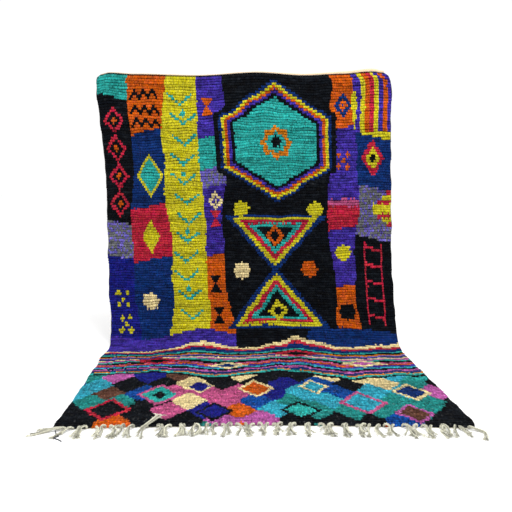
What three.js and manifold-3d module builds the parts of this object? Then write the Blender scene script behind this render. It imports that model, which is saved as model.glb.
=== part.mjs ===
// A hand-knotted wool pile rug with a fringe, hung by its top edge. It falls almost straight, bends out
// onto the floor and lies there flat, with its fringe at the far end of the lying part.
// Millimetres, +Z up, the floor at z = 0, and the pile face towards -Y and, where it lies, up.
import * as THREE from "three";
import Module from "manifold-3d";

// ---- driving dimensions ----
const THICKNESS = 18; // foundation and pressed pile together
const SEAT_GAP = 0.3; // between pieces that touch on the real rug
const SIDE_ROUND = 6; // how far the selvedge's rounded edge stands out past the flat faces
const HEADER_THICKNESS = 6;
const SPINE_DEPTH = 8; // plain-woven end that the tassels are knotted into
const SPINE_HEIGHT = 6;
const TASSEL_COUNT = 56;
const CORD_RADIUS = 4.5;
const CORD_SIDES = 4;

// The drape, from the hanging edge down and out to the fringe: a row for each section across the rug,
// taken at the middle of its thickness. height is above the floor, out is in front of the hanging line,
// and left and right are where the section's two selvedges lie, since the rug hangs a little askew.
const DRAPE = [
  { height: 1478, out: 0, left: -871, right: 738 },
  { height: 1350, out: 0, left: -866, right: 739 },
  { height: 1190, out: 1, left: -851, right: 740 },
  { height: 1030, out: 1, left: -838, right: 746 },
  { height: 860, out: 4, left: -832, right: 752 },
  { height: 690, out: 11, left: -833, right: 758 },
  { height: 530, out: 23, left: -830, right: 760 },
  { height: 400, out: 41, left: -828, right: 765 },
  { height: 290, out: 62, left: -824, right: 772 },
  { height: 190, out: 85, left: -814, right: 777 },
  { height: 105, out: 112, left: -806, right: 780 },
  { height: 48, out: 147, left: -801, right: 783 },
  { height: 19, out: 195, left: -797, right: 783 },
  { height: 9, out: 255, left: -795, right: 781 },
  { height: 9, out: 380, left: -793, right: 785 },
  { height: 9, out: 570, left: -785, right: 796 },
  { height: 9, out: 770, left: -771, right: 808 },
  { height: 9, out: 955, left: -762, right: 818 },
  { height: 9, out: 1133, left: -757, right: 830 },
];

// How the woven ends wander: across runs from the left selvedge, 0, to the right one, 1.
const TOP_EDGE = [
  { across: 0, rise: 9 },
  { across: 0.03, rise: 18 },
  { across: 0.12, rise: 9 },
  { across: 0.34, rise: 0 },
  { across: 0.55, rise: 18 },
  { across: 0.72, rise: 2 },
  { across: 0.85, rise: 11 },
  { across: 0.96, rise: 25 },
  { across: 1, rise: 20 },
];
const FRONT_EDGE = [
  { across: 0, reach: 9 },
  { across: 0.2, reach: -8 },
  { across: 0.5, reach: -24 },
  { across: 0.8, reach: -12 },
  { across: 1, reach: 1 },
];
const HEADER_EDGE = [
  { across: 0, height: 3 },
  { across: 0.5, height: 4 },
  { across: 0.75, height: 8 },
  { across: 0.96, height: 14 },
  { across: 1, height: 10 },
];
const END_FADE = 420; // how far down the rug the wander of an end is still felt

// Rounded corners: the selvedge is drawn in by up to inset over the last run of the rug.
const CORNERS = {
  topLeft: { inset: 26, run: 42 },
  topRight: { inset: 42, run: 80 },
  frontLeft: { inset: 8, run: 30 },
  frontRight: { inset: 22, run: 70 },
};

// Soft ridges (lift above 0) and troughs (below 0), each centred at a share across and a length down.
const FOLDS = [
  { across: 0.32, down: 0, wide: 300, long: 420, lift: 9 },
  { across: 0.74, down: 20, wide: 220, long: 360, lift: 8 },
  { across: 0.0, down: 40, wide: 90, long: 190, lift: -8 },
  { across: 1.0, down: 40, wide: 80, long: 150, lift: -13 },
  { across: 0.16, down: 820, wide: 190, long: 420, lift: 7 },
  { across: 0.4, down: 900, wide: 150, long: 380, lift: -6 },
  { across: 0.64, down: 760, wide: 170, long: 430, lift: 6 },
  { across: 0.9, down: 880, wide: 160, long: 360, lift: -6 },
  { across: 0.02, down: 1640, wide: 110, long: 80, lift: 9 },
  { across: 0.4, down: 1690, wide: 330, long: 55, lift: 7 },
  { across: 0.78, down: 1740, wide: 250, long: 60, lift: 6 },
  { across: 0.62, down: 2080, wide: 210, long: 70, lift: 4 },
];

// Facets of the rug: rows of them down its stretches, closest together round the bend and at the corners.
// end is the length down at which the stretch ends, and fromFront is its distance from the fringe instead.
const FACETS_ACROSS = 26;
const STRETCHES = [
  { end: 90, rows: 4 },
  { end: 1180, rows: 11 },
  { end: 1720, rows: 17 },
  { fromFront: 75, rows: 8 },
  { fromFront: 0, rows: 3 },
];

// Three tables used in turn, of different lengths, so that no two tassels near each other are alike:
// top of the hump and how far out the end lies, sway of the fall and curl of the end, and shift of the root.
const HUMPS = [
  { hump: 13, reach: 78 },
  { hump: 11, reach: 86 },
  { hump: 15, reach: 70 },
  { hump: 12, reach: 81 },
  { hump: 14, reach: 74 },
  { hump: 10, reach: 88 },
  { hump: 14, reach: 67 },
];
const SWAYS = [
  { sway: 17, curl: -6 },
  { sway: -14, curl: 8 },
  { sway: 20, curl: -10 },
  { sway: 7, curl: 6 },
  { sway: -19, curl: 6 },
  { sway: 15, curl: 8 },
  { sway: -12, curl: -8 },
  { sway: 21, curl: -12 },
  { sway: -20, curl: 8 },
  { sway: -8, curl: -9 },
  { sway: -16, curl: 12 },
];
const SHIFTS = [0, 6, -5, 4, -7];
const LIFTS = [0, 0.9, 0.4, 1.3]; // off the floor, so that no two crossing cords share a face

// The tassels at the two corners lie sideways, and one is thrown back over the pile. Each is given by the
// points of its route, how far out, how far to the right and how high, by its place in the row.
const LEVEL = CORD_RADIUS;
const THROWN = THICKNESS + CORD_RADIUS + SEAT_GAP;
const ODD_TASSELS = new Map([
  [0, [[6, 0, 3.5], [9, -2, 10], [16, -10, 12], [30, -34, 8], [45, -64, LEVEL], [63, -98, LEVEL]]],
  [1, [[6, 0, 3.5], [10, -6, 11], [16, -22, 13], [24, -48, 12], [29, -70, 11], [34, -88, 10]]],
  [2, [[6, 0, 3.5], [10, -4, 10], [16, -14, 12], [36, -30, 8], [56, -42, LEVEL], [82, -54, LEVEL]]],
  [3, [[6, 0, 3.5], [9, -2, 10], [14, -6, 13], [30, -4, 8], [50, -2, LEVEL], [88, 2, LEVEL]]],
  [11, [[5, 0, 3.5], [10, 8, 8], [9, 22, 17], [1, 38, THROWN + 3], [-20, 50, THROWN + 3], [-44, 62, THROWN + 4]]],
  [54, [[6, 0, 3.5], [9, -6, 10], [13, -8, 12], [28, 2, 8], [45, 8, LEVEL], [78, 14, LEVEL]]],
  [55, [[6, 0, 3.5], [9, -2, 10], [14, 2, 13], [24, 22, 8], [40, 43, LEVEL], [68, 37, LEVEL], [102, 20, LEVEL]]],
]);

// ---- small helpers ----
const UP = new THREE.Vector3(0, 0, 1);
const smoothstep = (t) => t * t * (3 - 2 * t);
const lerp = (a, b, t) => a + (b - a) * t;

// A column of a table at a share across, eased from row to row.
function eased(table, column, across) {
  const next = table.findIndex((row) => row.across >= across);
  if (next <= 0) return table[0][column];
  const a = table[next - 1];
  const b = table[next];
  const t = (across - a.across) / (b.across - a.across);
  return lerp(a[column], b[column], smoothstep(t));
}

// A smooth curve through a table's rows, one column at a time.
function throughRows(rows, column, place) {
  const i = Math.min(Math.floor(place), rows.length - 2);
  const t = place - i;
  const p1 = rows[i][column];
  const p2 = rows[i + 1][column];
  const p0 = i > 0 ? rows[i - 1][column] : 2 * p1 - p2;
  const p3 = i + 2 < rows.length ? rows[i + 2][column] : 2 * p2 - p1;
  const slope1 = (p2 - p0) / 2;
  const slope2 = (p3 - p1) / 2;
  const bend = 3 * (p2 - p1) - 2 * slope1 - slope2;
  const twist = 2 * (p1 - p2) + slope1 + slope2;
  return p1 + slope1 * t + bend * t * t + twist * t * t * t;
}

// The drape sampled finely, with the length of rug from the top down to each sample.
const SAMPLES_PER_ROW = 24;
const COLUMNS = ["height", "out", "left", "right"];
const drapeSamples = [];
for (let i = 0; i <= (DRAPE.length - 1) * SAMPLES_PER_ROW; i++) {
  const place = i / SAMPLES_PER_ROW;
  const sample = { down: 0 };
  for (const column of COLUMNS) {
    sample[column] = throughRows(DRAPE, column, place);
  }
  const before = drapeSamples.at(-1);
  if (before) {
    sample.down = before.down + Math.hypot(sample.height - before.height, sample.out - before.out);
  }
  drapeSamples.push(sample);
}
const LENGTH = drapeSamples.at(-1).down;

// The section at a length down the rug, running on straight past either end.
function section(down) {
  const found = drapeSamples.findIndex((sample) => sample.down >= down);
  const last = drapeSamples.length - 1;
  const i = found < 0 ? last : Math.max(found, 1);
  const a = drapeSamples[i - 1];
  const b = drapeSamples[i];
  const t = (down - a.down) / (b.down - a.down);
  return Object.fromEntries(COLUMNS.map((column) => [column, lerp(a[column], b[column], t)]));
}

// How far a rounded corner draws the selvedge in, at a distance from the rug's end.
function cornerInset(corner, fromEnd) {
  if (fromEnd >= corner.run) return 0;
  const t = 1 - Math.max(fromEnd, 0) / corner.run;
  return corner.inset * (1 - Math.sqrt(1 - t * t));
}

// The height of the soft ridges and troughs at one place.
const WIDTH = DRAPE[0].right - DRAPE[0].left;
function foldLift(across, down) {
  let lift = 0;
  for (const fold of FOLDS) {
    const x = ((across - fold.across) * WIDTH) / fold.wide;
    const y = (down - fold.down) / fold.long;
    lift += fold.lift * Math.exp(-x * x - y * y);
  }
  return lift;
}

// A point on the middle of the rug's thickness. down runs along the warps from 0 at the hanging edge to
// LENGTH at the fringe, whatever the wander of the two ends.
function middle(across, down) {
  const rise = eased(TOP_EDGE, "rise", across) * Math.exp(-Math.max(down, 0) / END_FADE);
  const fromFront = Math.max(LENGTH - down, 0);
  const reach = eased(FRONT_EDGE, "reach", across) * Math.exp(-fromFront / END_FADE);
  const at = section(down - rise + reach);
  const left = at.left + cornerInset(CORNERS.topLeft, down) + cornerInset(CORNERS.frontLeft, fromFront);
  const right = at.right - cornerInset(CORNERS.topRight, down) - cornerInset(CORNERS.frontRight, fromFront);
  return new THREE.Vector3(lerp(left, right, across), -at.out, at.height);
}

// The length, and the share of the width, over which the rug's tilt is measured.
const PROBE = 2;
const PROBE_SHARE = 0.01;

// The point and the direction its face looks in, with the folds put in and nothing under the floor.
function onRug(across, down) {
  const place = middle(across, down);
  const alongWarp = middle(across, down + PROBE).sub(middle(across, down - PROBE));
  const toRight = middle(Math.min(across + PROBE_SHARE, 1), down);
  const toLeft = middle(Math.max(across - PROBE_SHARE, 0), down);
  const face = alongWarp.cross(toRight.sub(toLeft)).normalize();
  place.addScaledVector(face, foldLift(across, down));
  place.z = Math.max(place.z, THICKNESS / 2);
  return { place, face };
}

// A closed body through rings of points, each ring with an even count, with zipped ends.
function loft(rings) {
  const count = rings[0].length;
  const half = count / 2;
  const points = rings.flat();
  const index = [];
  const quad = (a, b, c, d) => index.push(a, b, c, a, c, d);
  for (let r = 0; r + 1 < rings.length; r++) {
    for (let j = 0; j < count; j++) {
      const k = (j + 1) % count;
      quad(r * count + j, r * count + k, (r + 1) * count + k, (r + 1) * count + j);
    }
  }
  const endStart = (rings.length - 1) * count;
  for (const [start, turned] of [[0, true], [endStart, false]]) {
    for (let j = 0; j < half; j++) {
      const a = start + j;
      const b = start + j + 1;
      const c = start + (count - j - 1);
      const d = start + ((count - j) % count);
      if (j + 1 < half) index.push(...(turned ? [a, c, b] : [a, b, c]));
      if (j > 0) index.push(...(turned ? [a, d, c] : [a, c, d]));
    }
  }
  const geometry = new THREE.BufferGeometry();
  geometry.setFromPoints(points);
  geometry.setIndex(index);
  return geometry;
}

// ---- the pile cloth ----
function clothRows() {
  const downs = [0];
  for (const stretch of STRETCHES) {
    const start = downs.at(-1);
    const end = stretch.end ?? LENGTH - stretch.fromFront;
    for (let i = 1; i <= stretch.rows; i++) {
      downs.push(lerp(start, end, i / stretch.rows));
    }
  }
  return downs;
}

function rugField() {
  const rings = clothRows().map((down) => {
    const front = [];
    const back = [];
    for (let i = 0; i <= FACETS_ACROSS; i++) {
      const { place, face } = onRug(i / FACETS_ACROSS, down);
      front.push(place.clone().addScaledVector(face, THICKNESS / 2));
      back.unshift(place.clone().addScaledVector(face, -THICKNESS / 2));
    }
    const leftEdge = front[0].clone().add(back.at(-1)).multiplyScalar(0.5);
    const rightEdge = front.at(-1).clone().add(back[0]).multiplyScalar(0.5);
    leftEdge.x -= SIDE_ROUND;
    rightEdge.x += SIDE_ROUND;
    return [leftEdge, ...front, rightEdge, ...back];
  });
  return loft(rings.reverse());
}

// ---- the beige woven heading along the hanging edge ----
function headerBand() {
  const rings = [];
  for (let i = 0; i <= FACETS_ACROSS; i++) {
    const across = i / FACETS_ACROSS;
    const edge = onRug(across, 0);
    const bottom = edge.place.clone().addScaledVector(UP, SEAT_GAP);
    const top = bottom.clone().addScaledVector(UP, eased(HEADER_EDGE, "height", across));
    const half = edge.face.clone().multiplyScalar(HEADER_THICKNESS / 2);
    rings.push([bottom.clone().sub(half), top.clone().sub(half), top.add(half), bottom.add(half)]);
  }
  return loft(rings);
}

// ---- the fringe comb ----
// The end of the pile at one place across, on the floor.
function frontEdge(across) {
  const edge = middle(across, LENGTH);
  return new THREE.Vector3(edge.x, edge.y - SEAT_GAP, 0);
}

function spine() {
  const rings = [];
  for (let i = 0; i <= FACETS_ACROSS; i++) {
    const back = frontEdge(i / FACETS_ACROSS);
    const front = back.clone();
    front.y -= SPINE_DEPTH;
    const lift = new THREE.Vector3(0, 0, SPINE_HEIGHT);
    rings.push([back, back.clone().add(lift), front.clone().add(lift), front]);
  }
  return loft(rings);
}

// A round cord along a route, with a ring of sides at each of its points.
function cord(route) {
  const rings = route.map((point, i) => {
    const ahead = route[Math.min(i + 1, route.length - 1)];
    const behind = route[Math.max(i - 1, 0)];
    const along = ahead.clone().sub(behind).normalize();
    const side = new THREE.Vector3().crossVectors(along, UP);
    if (side.length() < 0.1) side.set(1, 0, 0);
    side.normalize();
    const over = new THREE.Vector3().crossVectors(side, along).normalize();
    const ring = [];
    for (let k = 0; k < CORD_SIDES; k++) {
      const angle = ((k + 0.5) / CORD_SIDES) * 2 * Math.PI;
      const spoke = side.clone().multiplyScalar(Math.sin(angle) * CORD_RADIUS);
      ring.push(point.clone().add(spoke).addScaledVector(over, Math.cos(angle) * CORD_RADIUS));
    }
    return ring;
  });
  return loft(rings);
}

// A tassel leaves the woven end, humps up and falls to the floor, and its end curls sideways there.
function tasselPoints(number) {
  const { hump, reach } = HUMPS[number % HUMPS.length];
  const { sway, curl } = SWAYS[number % SWAYS.length];
  const lying = LEVEL + LIFTS[number % LIFTS.length];
  return [
    [6, 0, 3.5],
    [9, 0.04 * sway, 0.76 * hump],
    [8 + 0.13 * reach, 0.48 * sway, hump],
    [7 + 0.28 * reach, sway, 0.5 * hump],
    [6 + 0.42 * reach, 1.04 * sway, lying],
    [5 + reach, sway + curl, lying],
  ];
}

function tasselRoute(number) {
  const root = frontEdge((number + 0.5) / TASSEL_COUNT);
  const odd = ODD_TASSELS.get(number);
  if (!odd) root.x += SHIFTS[number % SHIFTS.length];
  return (odd ?? tasselPoints(number)).map(([out, right, height]) => {
    return new THREE.Vector3(root.x + right, root.y - out, height);
  });
}

// ---- joining with manifold-3d ----
const wasm = await Module();
wasm.setup();

function toManifold(geometry) {
  const vertProperties = new Float32Array(geometry.getAttribute("position").array);
  const triVerts = new Uint32Array(geometry.index.array);
  return new wasm.Manifold(new wasm.Mesh({ numProp: 3, vertProperties, triVerts }));
}

function toGeometry(solid) {
  const mesh = solid.getMesh();
  const geometry = new THREE.BufferGeometry();
  geometry.setAttribute("position", new THREE.BufferAttribute(mesh.vertProperties, 3));
  geometry.setIndex(new THREE.BufferAttribute(mesh.triVerts, 1));
  return geometry;
}

const SLIVER = 0.15; // facets smaller than this, left where cords cross, are merged away
function fringeComb() {
  let comb = toManifold(spine());
  for (let number = 0; number < TASSEL_COUNT; number++) {
    comb = comb.add(toManifold(cord(tasselRoute(number))));
  }
  return toGeometry(comb.simplify(SLIVER));
}

// ---- the scene graph ----
const WOOL = { roughness: 0.95, metalness: 0 };
const pileWool = new THREE.MeshStandardMaterial({ color: 0x1d3a8f, ...WOOL });
const headerWool = new THREE.MeshStandardMaterial({ color: 0xd8b48c, ...WOOL });
const fringeWool = new THREE.MeshStandardMaterial({ color: 0xdcd6c4, ...WOOL });

function piece(name, geometry, material) {
  const mesh = new THREE.Mesh(geometry, material);
  mesh.name = name;
  return mesh;
}

const rug = new THREE.Group();
rug.add(piece("rug_field", rugField(), pileWool));
rug.add(piece("header_band", headerBand(), headerWool));
rug.add(piece("fringe_comb", fringeComb(), fringeWool));

// The origin is the middle of the rug's footprint, on the floor.
const footprint = new THREE.Box3().setFromObject(rug);
const centre = footprint.getCenter(new THREE.Vector3());
for (const mesh of rug.children) {
  mesh.position.set(-centre.x, -centre.y, 0);
}

export default rug;
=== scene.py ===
# %% [markdown]
# # A hand-knotted pile rug, hung by its top edge and running out over the floor
#
# The real rug is one piece of cloth. A weaver ties short lengths of wool round pairs of warp threads,
# one row of knots after another, and beats in a few threads of weft between the rows. The ends of the
# knots stand out as the pile. This lesson rebuilds it in the same order: the shape in which it hangs,
# the pattern knot by knot, the woven ground, the pile, the heading at the top and the fringe at the foot.
#
# Its solids keep the collision and the weight, and our pieces stand for them in the picture.

import math

import bpy
import numpy as np
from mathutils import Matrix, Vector


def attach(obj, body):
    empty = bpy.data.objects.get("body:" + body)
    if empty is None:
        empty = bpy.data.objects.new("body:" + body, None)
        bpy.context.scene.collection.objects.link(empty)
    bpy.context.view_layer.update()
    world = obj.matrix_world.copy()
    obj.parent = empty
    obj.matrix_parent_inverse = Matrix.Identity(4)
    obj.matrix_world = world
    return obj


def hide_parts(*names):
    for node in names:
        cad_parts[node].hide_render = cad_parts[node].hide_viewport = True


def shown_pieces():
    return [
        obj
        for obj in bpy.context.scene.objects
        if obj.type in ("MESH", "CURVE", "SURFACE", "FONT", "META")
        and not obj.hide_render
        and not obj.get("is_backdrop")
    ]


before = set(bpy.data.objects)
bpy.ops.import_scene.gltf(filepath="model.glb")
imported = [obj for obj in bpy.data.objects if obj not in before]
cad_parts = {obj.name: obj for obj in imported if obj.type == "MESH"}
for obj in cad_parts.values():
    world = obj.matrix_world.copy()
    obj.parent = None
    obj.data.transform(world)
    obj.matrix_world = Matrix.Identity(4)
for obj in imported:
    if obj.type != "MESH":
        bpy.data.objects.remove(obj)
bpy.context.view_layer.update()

# %% [markdown]
# ## The shape in which the rug hangs
#
# We could drop a flat cloth over a rod with a simulation, but it would settle somewhere else than the
# CAD solid. Instead one table gives the drape as a few sections, from the hanging edge down to the
# fringe, and a smooth curve runs through them. The table is the same as the CAD model's, so both agree.
# Lengths in the tables are millimetres, as a maker would write them, and are turned into metres at the end.

# %% The drape as a table of sections
# height above the floor, out in front of the hanging line, and where the left and right edges lie
DRAPE = np.array([
    (1478, 0, -871, 738), (1350, 0, -866, 739), (1190, 1, -851, 740), (1030, 1, -838, 746),
    (860, 4, -832, 752), (690, 11, -833, 758), (530, 23, -830, 760), (400, 41, -828, 765),
    (290, 62, -824, 772), (190, 85, -814, 777), (105, 112, -806, 780), (48, 147, -801, 783),
    (19, 195, -797, 783), (9, 255, -795, 781), (9, 380, -793, 785), (9, 570, -785, 796),
    (9, 770, -771, 808), (9, 955, -762, 818), (9, 1133, -757, 830),
], float)


def smooth_through(points, steps):
    """A smooth curve through the rows of a table, with so many samples from each row to the next."""
    ends = np.vstack([2 * points[0] - points[1], points, 2 * points[-1] - points[-2]])
    slope = (ends[2:] - ends[:-2]) / 2
    t = (np.arange(steps) / steps)[None, :, None]
    parts = points[:-1], points[1:], slope[:-1], slope[1:]
    start, end, leave, arrive = (part[:, None, :] for part in parts)
    square = (3 * (end - start) - 2 * leave - arrive) * t**2
    cube = (2 * (start - end) + leave + arrive) * t**3
    curve = start + leave * t + square + cube
    return np.vstack([curve.reshape(-1, points.shape[1]), points[-1:]])


samples = smooth_through(DRAPE, 24)
down_to = np.concatenate([[0], np.cumsum(np.hypot(*np.diff(samples[:, :2], axis=0).T))])
LENGTH = down_to[-1]
WIDTH = DRAPE[0, 3] - DRAPE[0, 2]
print(f"the rug is {WIDTH / 1000:.3f} m wide at the top and {LENGTH / 1000:.3f} m long")

# %% [markdown]
# The cloth isn't ruled straight. Its ends wander, its corners are rounded, and long soft folds run down it.
# Each of these is a short table as well, of shares of the width and lengths down the rug.

# %% Edges that wander, rounded corners and soft folds
# (share of the width, millimetres)
TOP_EDGE = [(0, 9), (0.03, 18), (0.12, 9), (0.34, 0), (0.55, 18), (0.72, 2), (0.85, 11), (0.96, 25), (1, 20)]
FRONT_EDGE = [(0, 9), (0.2, -8), (0.5, -24), (0.8, -12), (1, 1)]
HEADING_EDGE = [(0, 3), (0.5, 4), (0.75, 8), (0.96, 14), (1, 10)]
END_FADE = 420  # how far down the wander of an end is felt
# how far each rounded corner draws the edge in, and over what length
CORNERS = {"top left": (26, 42), "top right": (42, 80), "front left": (8, 30), "front right": (22, 70)}
# soft ridges and troughs: share across, length down, half width, half length, lift
FOLDS = [
    (0.32, 0, 300, 420, 9), (0.74, 20, 220, 360, 8), (0, 40, 90, 190, -8), (1, 40, 80, 150, -13),
    (0.16, 820, 190, 420, 7), (0.4, 900, 150, 380, -6), (0.64, 760, 170, 430, 6), (0.9, 880, 160, 360, -6),
    (0.02, 1640, 110, 80, 9), (0.4, 1690, 330, 55, 7), (0.78, 1740, 250, 60, 6), (0.62, 2080, 210, 70, 4),
]
HALF_THICK = 9.0  # from the middle of the rug to its back, and to the pressed pile's top
CENTRE = np.array([17.7910, 607.8934, 0.0])  # puts the rug where the CAD frame has it
PAST_END = 300.0  # how far the columns of the drape run on past either end
# two places so far from a point give the directions there: millimetres down, share of the width across
DOWN_STEP, ACROSS_STEP = 2, 0.01


def eased(table, across):
    """A table's value at a share of the width, eased from row to row."""
    at, value = np.array(table, float).T
    across = np.clip(across, 0, 1)
    i = np.clip(np.searchsorted(at, across) - 1, 0, len(at) - 2)
    t = (across - at[i]) / (at[i + 1] - at[i])
    return value[i] + (value[i + 1] - value[i]) * t * t * (3 - 2 * t)


def drawn_in(corner, from_end):
    """How far a rounded corner draws the edge in, at a distance from the end."""
    inset, run = CORNERS[corner]
    t = np.clip(1 - np.maximum(from_end, 0) / run, 0, 1)
    return inset * (1 - np.sqrt(1 - t * t))


def section_at(down):
    """The drape's columns at a length down the rug, running on straight past either end."""
    at = np.concatenate([[-PAST_END], down_to, [LENGTH + PAST_END]])
    first = samples[0] - (samples[1] - samples[0]) * PAST_END / (down_to[1] - down_to[0])
    last = samples[-1] + (samples[-1] - samples[-2]) * PAST_END / (down_to[-1] - down_to[-2])
    rows = np.vstack([first, samples, last])
    return [np.interp(down, at, column) for column in rows.T]


def middle(across, down):
    """Points halfway through the rug's thickness, in millimetres."""
    from_front = np.maximum(LENGTH - down, 0)
    rise = eased(TOP_EDGE, across) * np.exp(-np.maximum(down, 0) / END_FADE)
    reach = eased(FRONT_EDGE, across) * np.exp(-from_front / END_FADE)
    height, out, left, right = section_at(down - rise + reach)
    left = left + drawn_in("top left", down) + drawn_in("front left", from_front)
    right = right - drawn_in("top right", down) - drawn_in("front right", from_front)
    return np.stack([left + (right - left) * across, -out, height], axis=-1)


def unit(v):
    """The same directions, each one long."""
    return v / np.linalg.norm(v, axis=-1, keepdims=True)


def on_rug(across, down):
    """The place, the direction down the warps and the direction the pile faces, with the folds put in."""
    across, down = np.broadcast_arrays(np.asarray(across, float), np.asarray(down, float))
    place = middle(across, down)
    warp = middle(across, down + DOWN_STEP) - middle(across, down - DOWN_STEP)
    right, left = np.minimum(across + ACROSS_STEP, 1), np.maximum(across - ACROSS_STEP, 0)
    weft = middle(right, down) - middle(left, down)
    face = unit(np.cross(warp, weft))
    lift = sum(
        amount * np.exp(-(((across - a) * WIDTH / wide) ** 2) - ((down - d) / long) ** 2)
        for a, d, wide, long, amount in FOLDS
    )
    place = place + face * lift[..., None]
    place[..., 2] = np.maximum(place[..., 2], HALF_THICK)
    return place, unit(warp), face


def metres(points):
    """Points of the tables, in millimetres, as points of the frame, in metres."""
    return (np.asarray(points, float) + CENTRE) / 1000


corner_points = metres(on_rug(np.array([0.0, 1.0]), np.array([0.0, LENGTH]))[0])
print("drape's top left and front right corners:", corner_points.round(3).tolist())

# %% [markdown]
# ## The pattern, knot by knot
#
# The weaver has no drawing. Upright panels of colour wander down the rug, large figures with outlines of
# several wools stand on a dark one, thin stripes cross the rug below them, and the end is a patchwork of
# lozenges. A picture could be laid over the cloth, but every knot has one colour only, so that the edges
# of all shapes are jagged steps. We therefore keep a table with one cell for each knot, and dye its cells
# with simple shapes measured in metres: bands, lozenges, hexagons, strokes.

# %% A table with a cell for each knot
ROWS, KNOTS = 180, 190
FLAT_WIDTH = 1.600  # as woven, in metres
STRAY_ACROSS, STRAY_DOWN = 0.0010, 0.0016  # how far a knot is tied from its place, in metres
WOOLS = {  # display colours, 0 to 255
    "night": (4, 8, 15), "royal": (9, 41, 98), "ultramarine": (20, 24, 112), "sun": (185, 176, 31),
    "violet": (57, 41, 139), "lavender": (98, 88, 168), "orange": (181, 79, 12), "teal": (38, 149, 142),
    "crimson": (172, 33, 55), "grey": (98, 100, 104), "pink": (172, 76, 120), "mauve": (164, 82, 146),
    "cream": (209, 191, 140), "brown": (88, 56, 44), "cyan": (46, 146, 167), "amber": (188, 110, 18),
    "blue": (9, 66, 140), "sea": (31, 124, 119),
}
MARLS = {"grey": "lavender", "lavender": "grey"}  # what is spun into these wools
MARLED = 0.35  # and how much of it
wool_number = {name: i for i, name in enumerate(WOOLS)}
chance = np.random.default_rng(11)
row, knot = np.mgrid[0:ROWS, 0:KNOTS]
KNOT_WIDE, ROW_TALL = FLAT_WIDTH / KNOTS, LENGTH / 1000 / ROWS
# A knot's place on the rug in metres. A little stray makes the edges of the shapes uneven, as tied by hand.
X = (knot + 0.5) * KNOT_WIDE + chance.normal(0, STRAY_ACROSS, row.shape)
Y = (row + 0.5) * ROW_TALL + chance.normal(0, STRAY_DOWN, row.shape)
tied = np.zeros((ROWS, KNOTS), int)


def dye(where, wool, other=None):
    """Ties knots of a wool where the mask says. Two wools at once make a marled patch."""
    tied[where] = wool_number[wool]
    if other:
        tied[where & (chance.random(tied.shape) < MARLED)] = wool_number[other]


def wander(base, swing, wave, start):
    """An upright edge that strays to and fro on its way down."""
    turn = 2 * np.pi * Y / wave + start
    return base + swing * (np.sin(turn) + 0.4 * np.sin(2.7 * turn + start))


print(f"{ROWS} rows of {KNOTS} knots, each {1000 * KNOT_WIDE:.1f} x {1000 * ROW_TALL:.1f} mm")

# %% Upright panels
BEYOND = 9  # metres, past every edge of the rug
SLANT = 0.22  # how steeply the pieces of a panel meet, one panel this way and the next one that way
edges = [
    -BEYOND, wander(0.150, 0.014, 1.3, 0.4), wander(0.345, 0.020, 1.1, 1.9), wander(0.545, 0.014, 1.6, 3.4),
    wander(0.668, 0.020, 1.2, 0.2), wander(1.262, 0.018, 1.5, 2.2), wander(1.405, 0.016, 1.0, 4.0), BEYOND,
]
# each panel's wools, with the length down at which each gives way to the next
PANELS = [
    [("teal", 0.13), ("night", 0.80), ("grey", 1.00), ("ultramarine", BEYOND)],
    [("orange", 0.31), ("royal", 0.72), ("crimson", 1.02), ("royal", BEYOND)],
    [("sun", BEYOND)],
    [("violet", 0.33), ("teal", 0.50), ("lavender", 0.60), ("violet", 0.98), ("orange", BEYOND)],
    [("night", BEYOND)],
    [("orange", 0.29), ("violet", 0.70), ("crimson", 0.84), ("violet", 1.16), ("orange", BEYOND)],
    [("violet", 0.08), ("sun", 0.30), ("royal", 0.58), ("grey", 0.86), ("night", BEYOND)],
]
for number, panel in enumerate(PANELS):
    inside = (X >= edges[number]) & (X < edges[number + 1])
    slanted = Y - SLANT * (X - edges[max(number, 1)]) * (-1) ** number
    start = -BEYOND
    for wool, foot in panel:
        dye(inside & (slanted >= start), wool, MARLS.get(wool))
        start = foot
# a pink strip across the foot of a violet piece
dye((X > edges[5]) & (X < edges[6]) & (Y > 0.66) & (Y < 0.70), "pink")
print(len(PANELS), "panels with", sum(len(panel) for panel in PANELS), "pieces")

# %% [markdown]
# Figures are nests of outlines, one wool inside the other. A shape is therefore a number for every knot,
# which is 1 on its outline and less inside, so that any share of it is a smaller outline.

# %% The great figures on the dark panel
def lozenge(x, y, wide, tall):
    """A lozenge as a shape: 1 on its outline, 0 at its heart."""
    return np.abs(X - x) * 2 / wide + np.abs(Y - y) * 2 / tall


def hexagon(x, y, wide, tall, flat):
    """A hexagon with two upright sides, which take up a flat share of its height."""
    side = np.abs(X - x) * 2 / wide
    return np.maximum(side, side * (1 - flat) + np.abs(Y - y) * 2 / tall)


def star(x, y, reach):
    """A star of eight points: a square and a lozenge on each other."""
    side, up = np.abs(X - x), np.abs(Y - y)
    return np.minimum(np.maximum(side, up) / (0.74 * reach), (side + up) / (1.05 * reach))


def nest(shape, rings):
    """Outlines inside one another, the outermost first, each out to its share of the shape."""
    for wool, out_to in rings:
        dye(shape < out_to, wool)


def triangle(x, foot, tip, wide, wool):
    """A triangle from the height of its foot to that of its tip."""
    up = (Y - tip) / (foot - tip)
    dye((up >= 0) & (up <= 1) & (np.abs(X - x) < wide / 2 * up), wool)


nest(hexagon(0.962, 0.352, 0.62, 0.66, 0.42), [
    ("night", 1.09), ("royal", 1.0), ("sun", 0.945), ("orange", 0.895), ("violet", 0.845), ("night", 0.79),
    ("teal", 0.73)])
nest(star(0.962, 0.352, 0.088), [("amber", 1.0), ("teal", 0.66), ("night", 0.36)])
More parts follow.
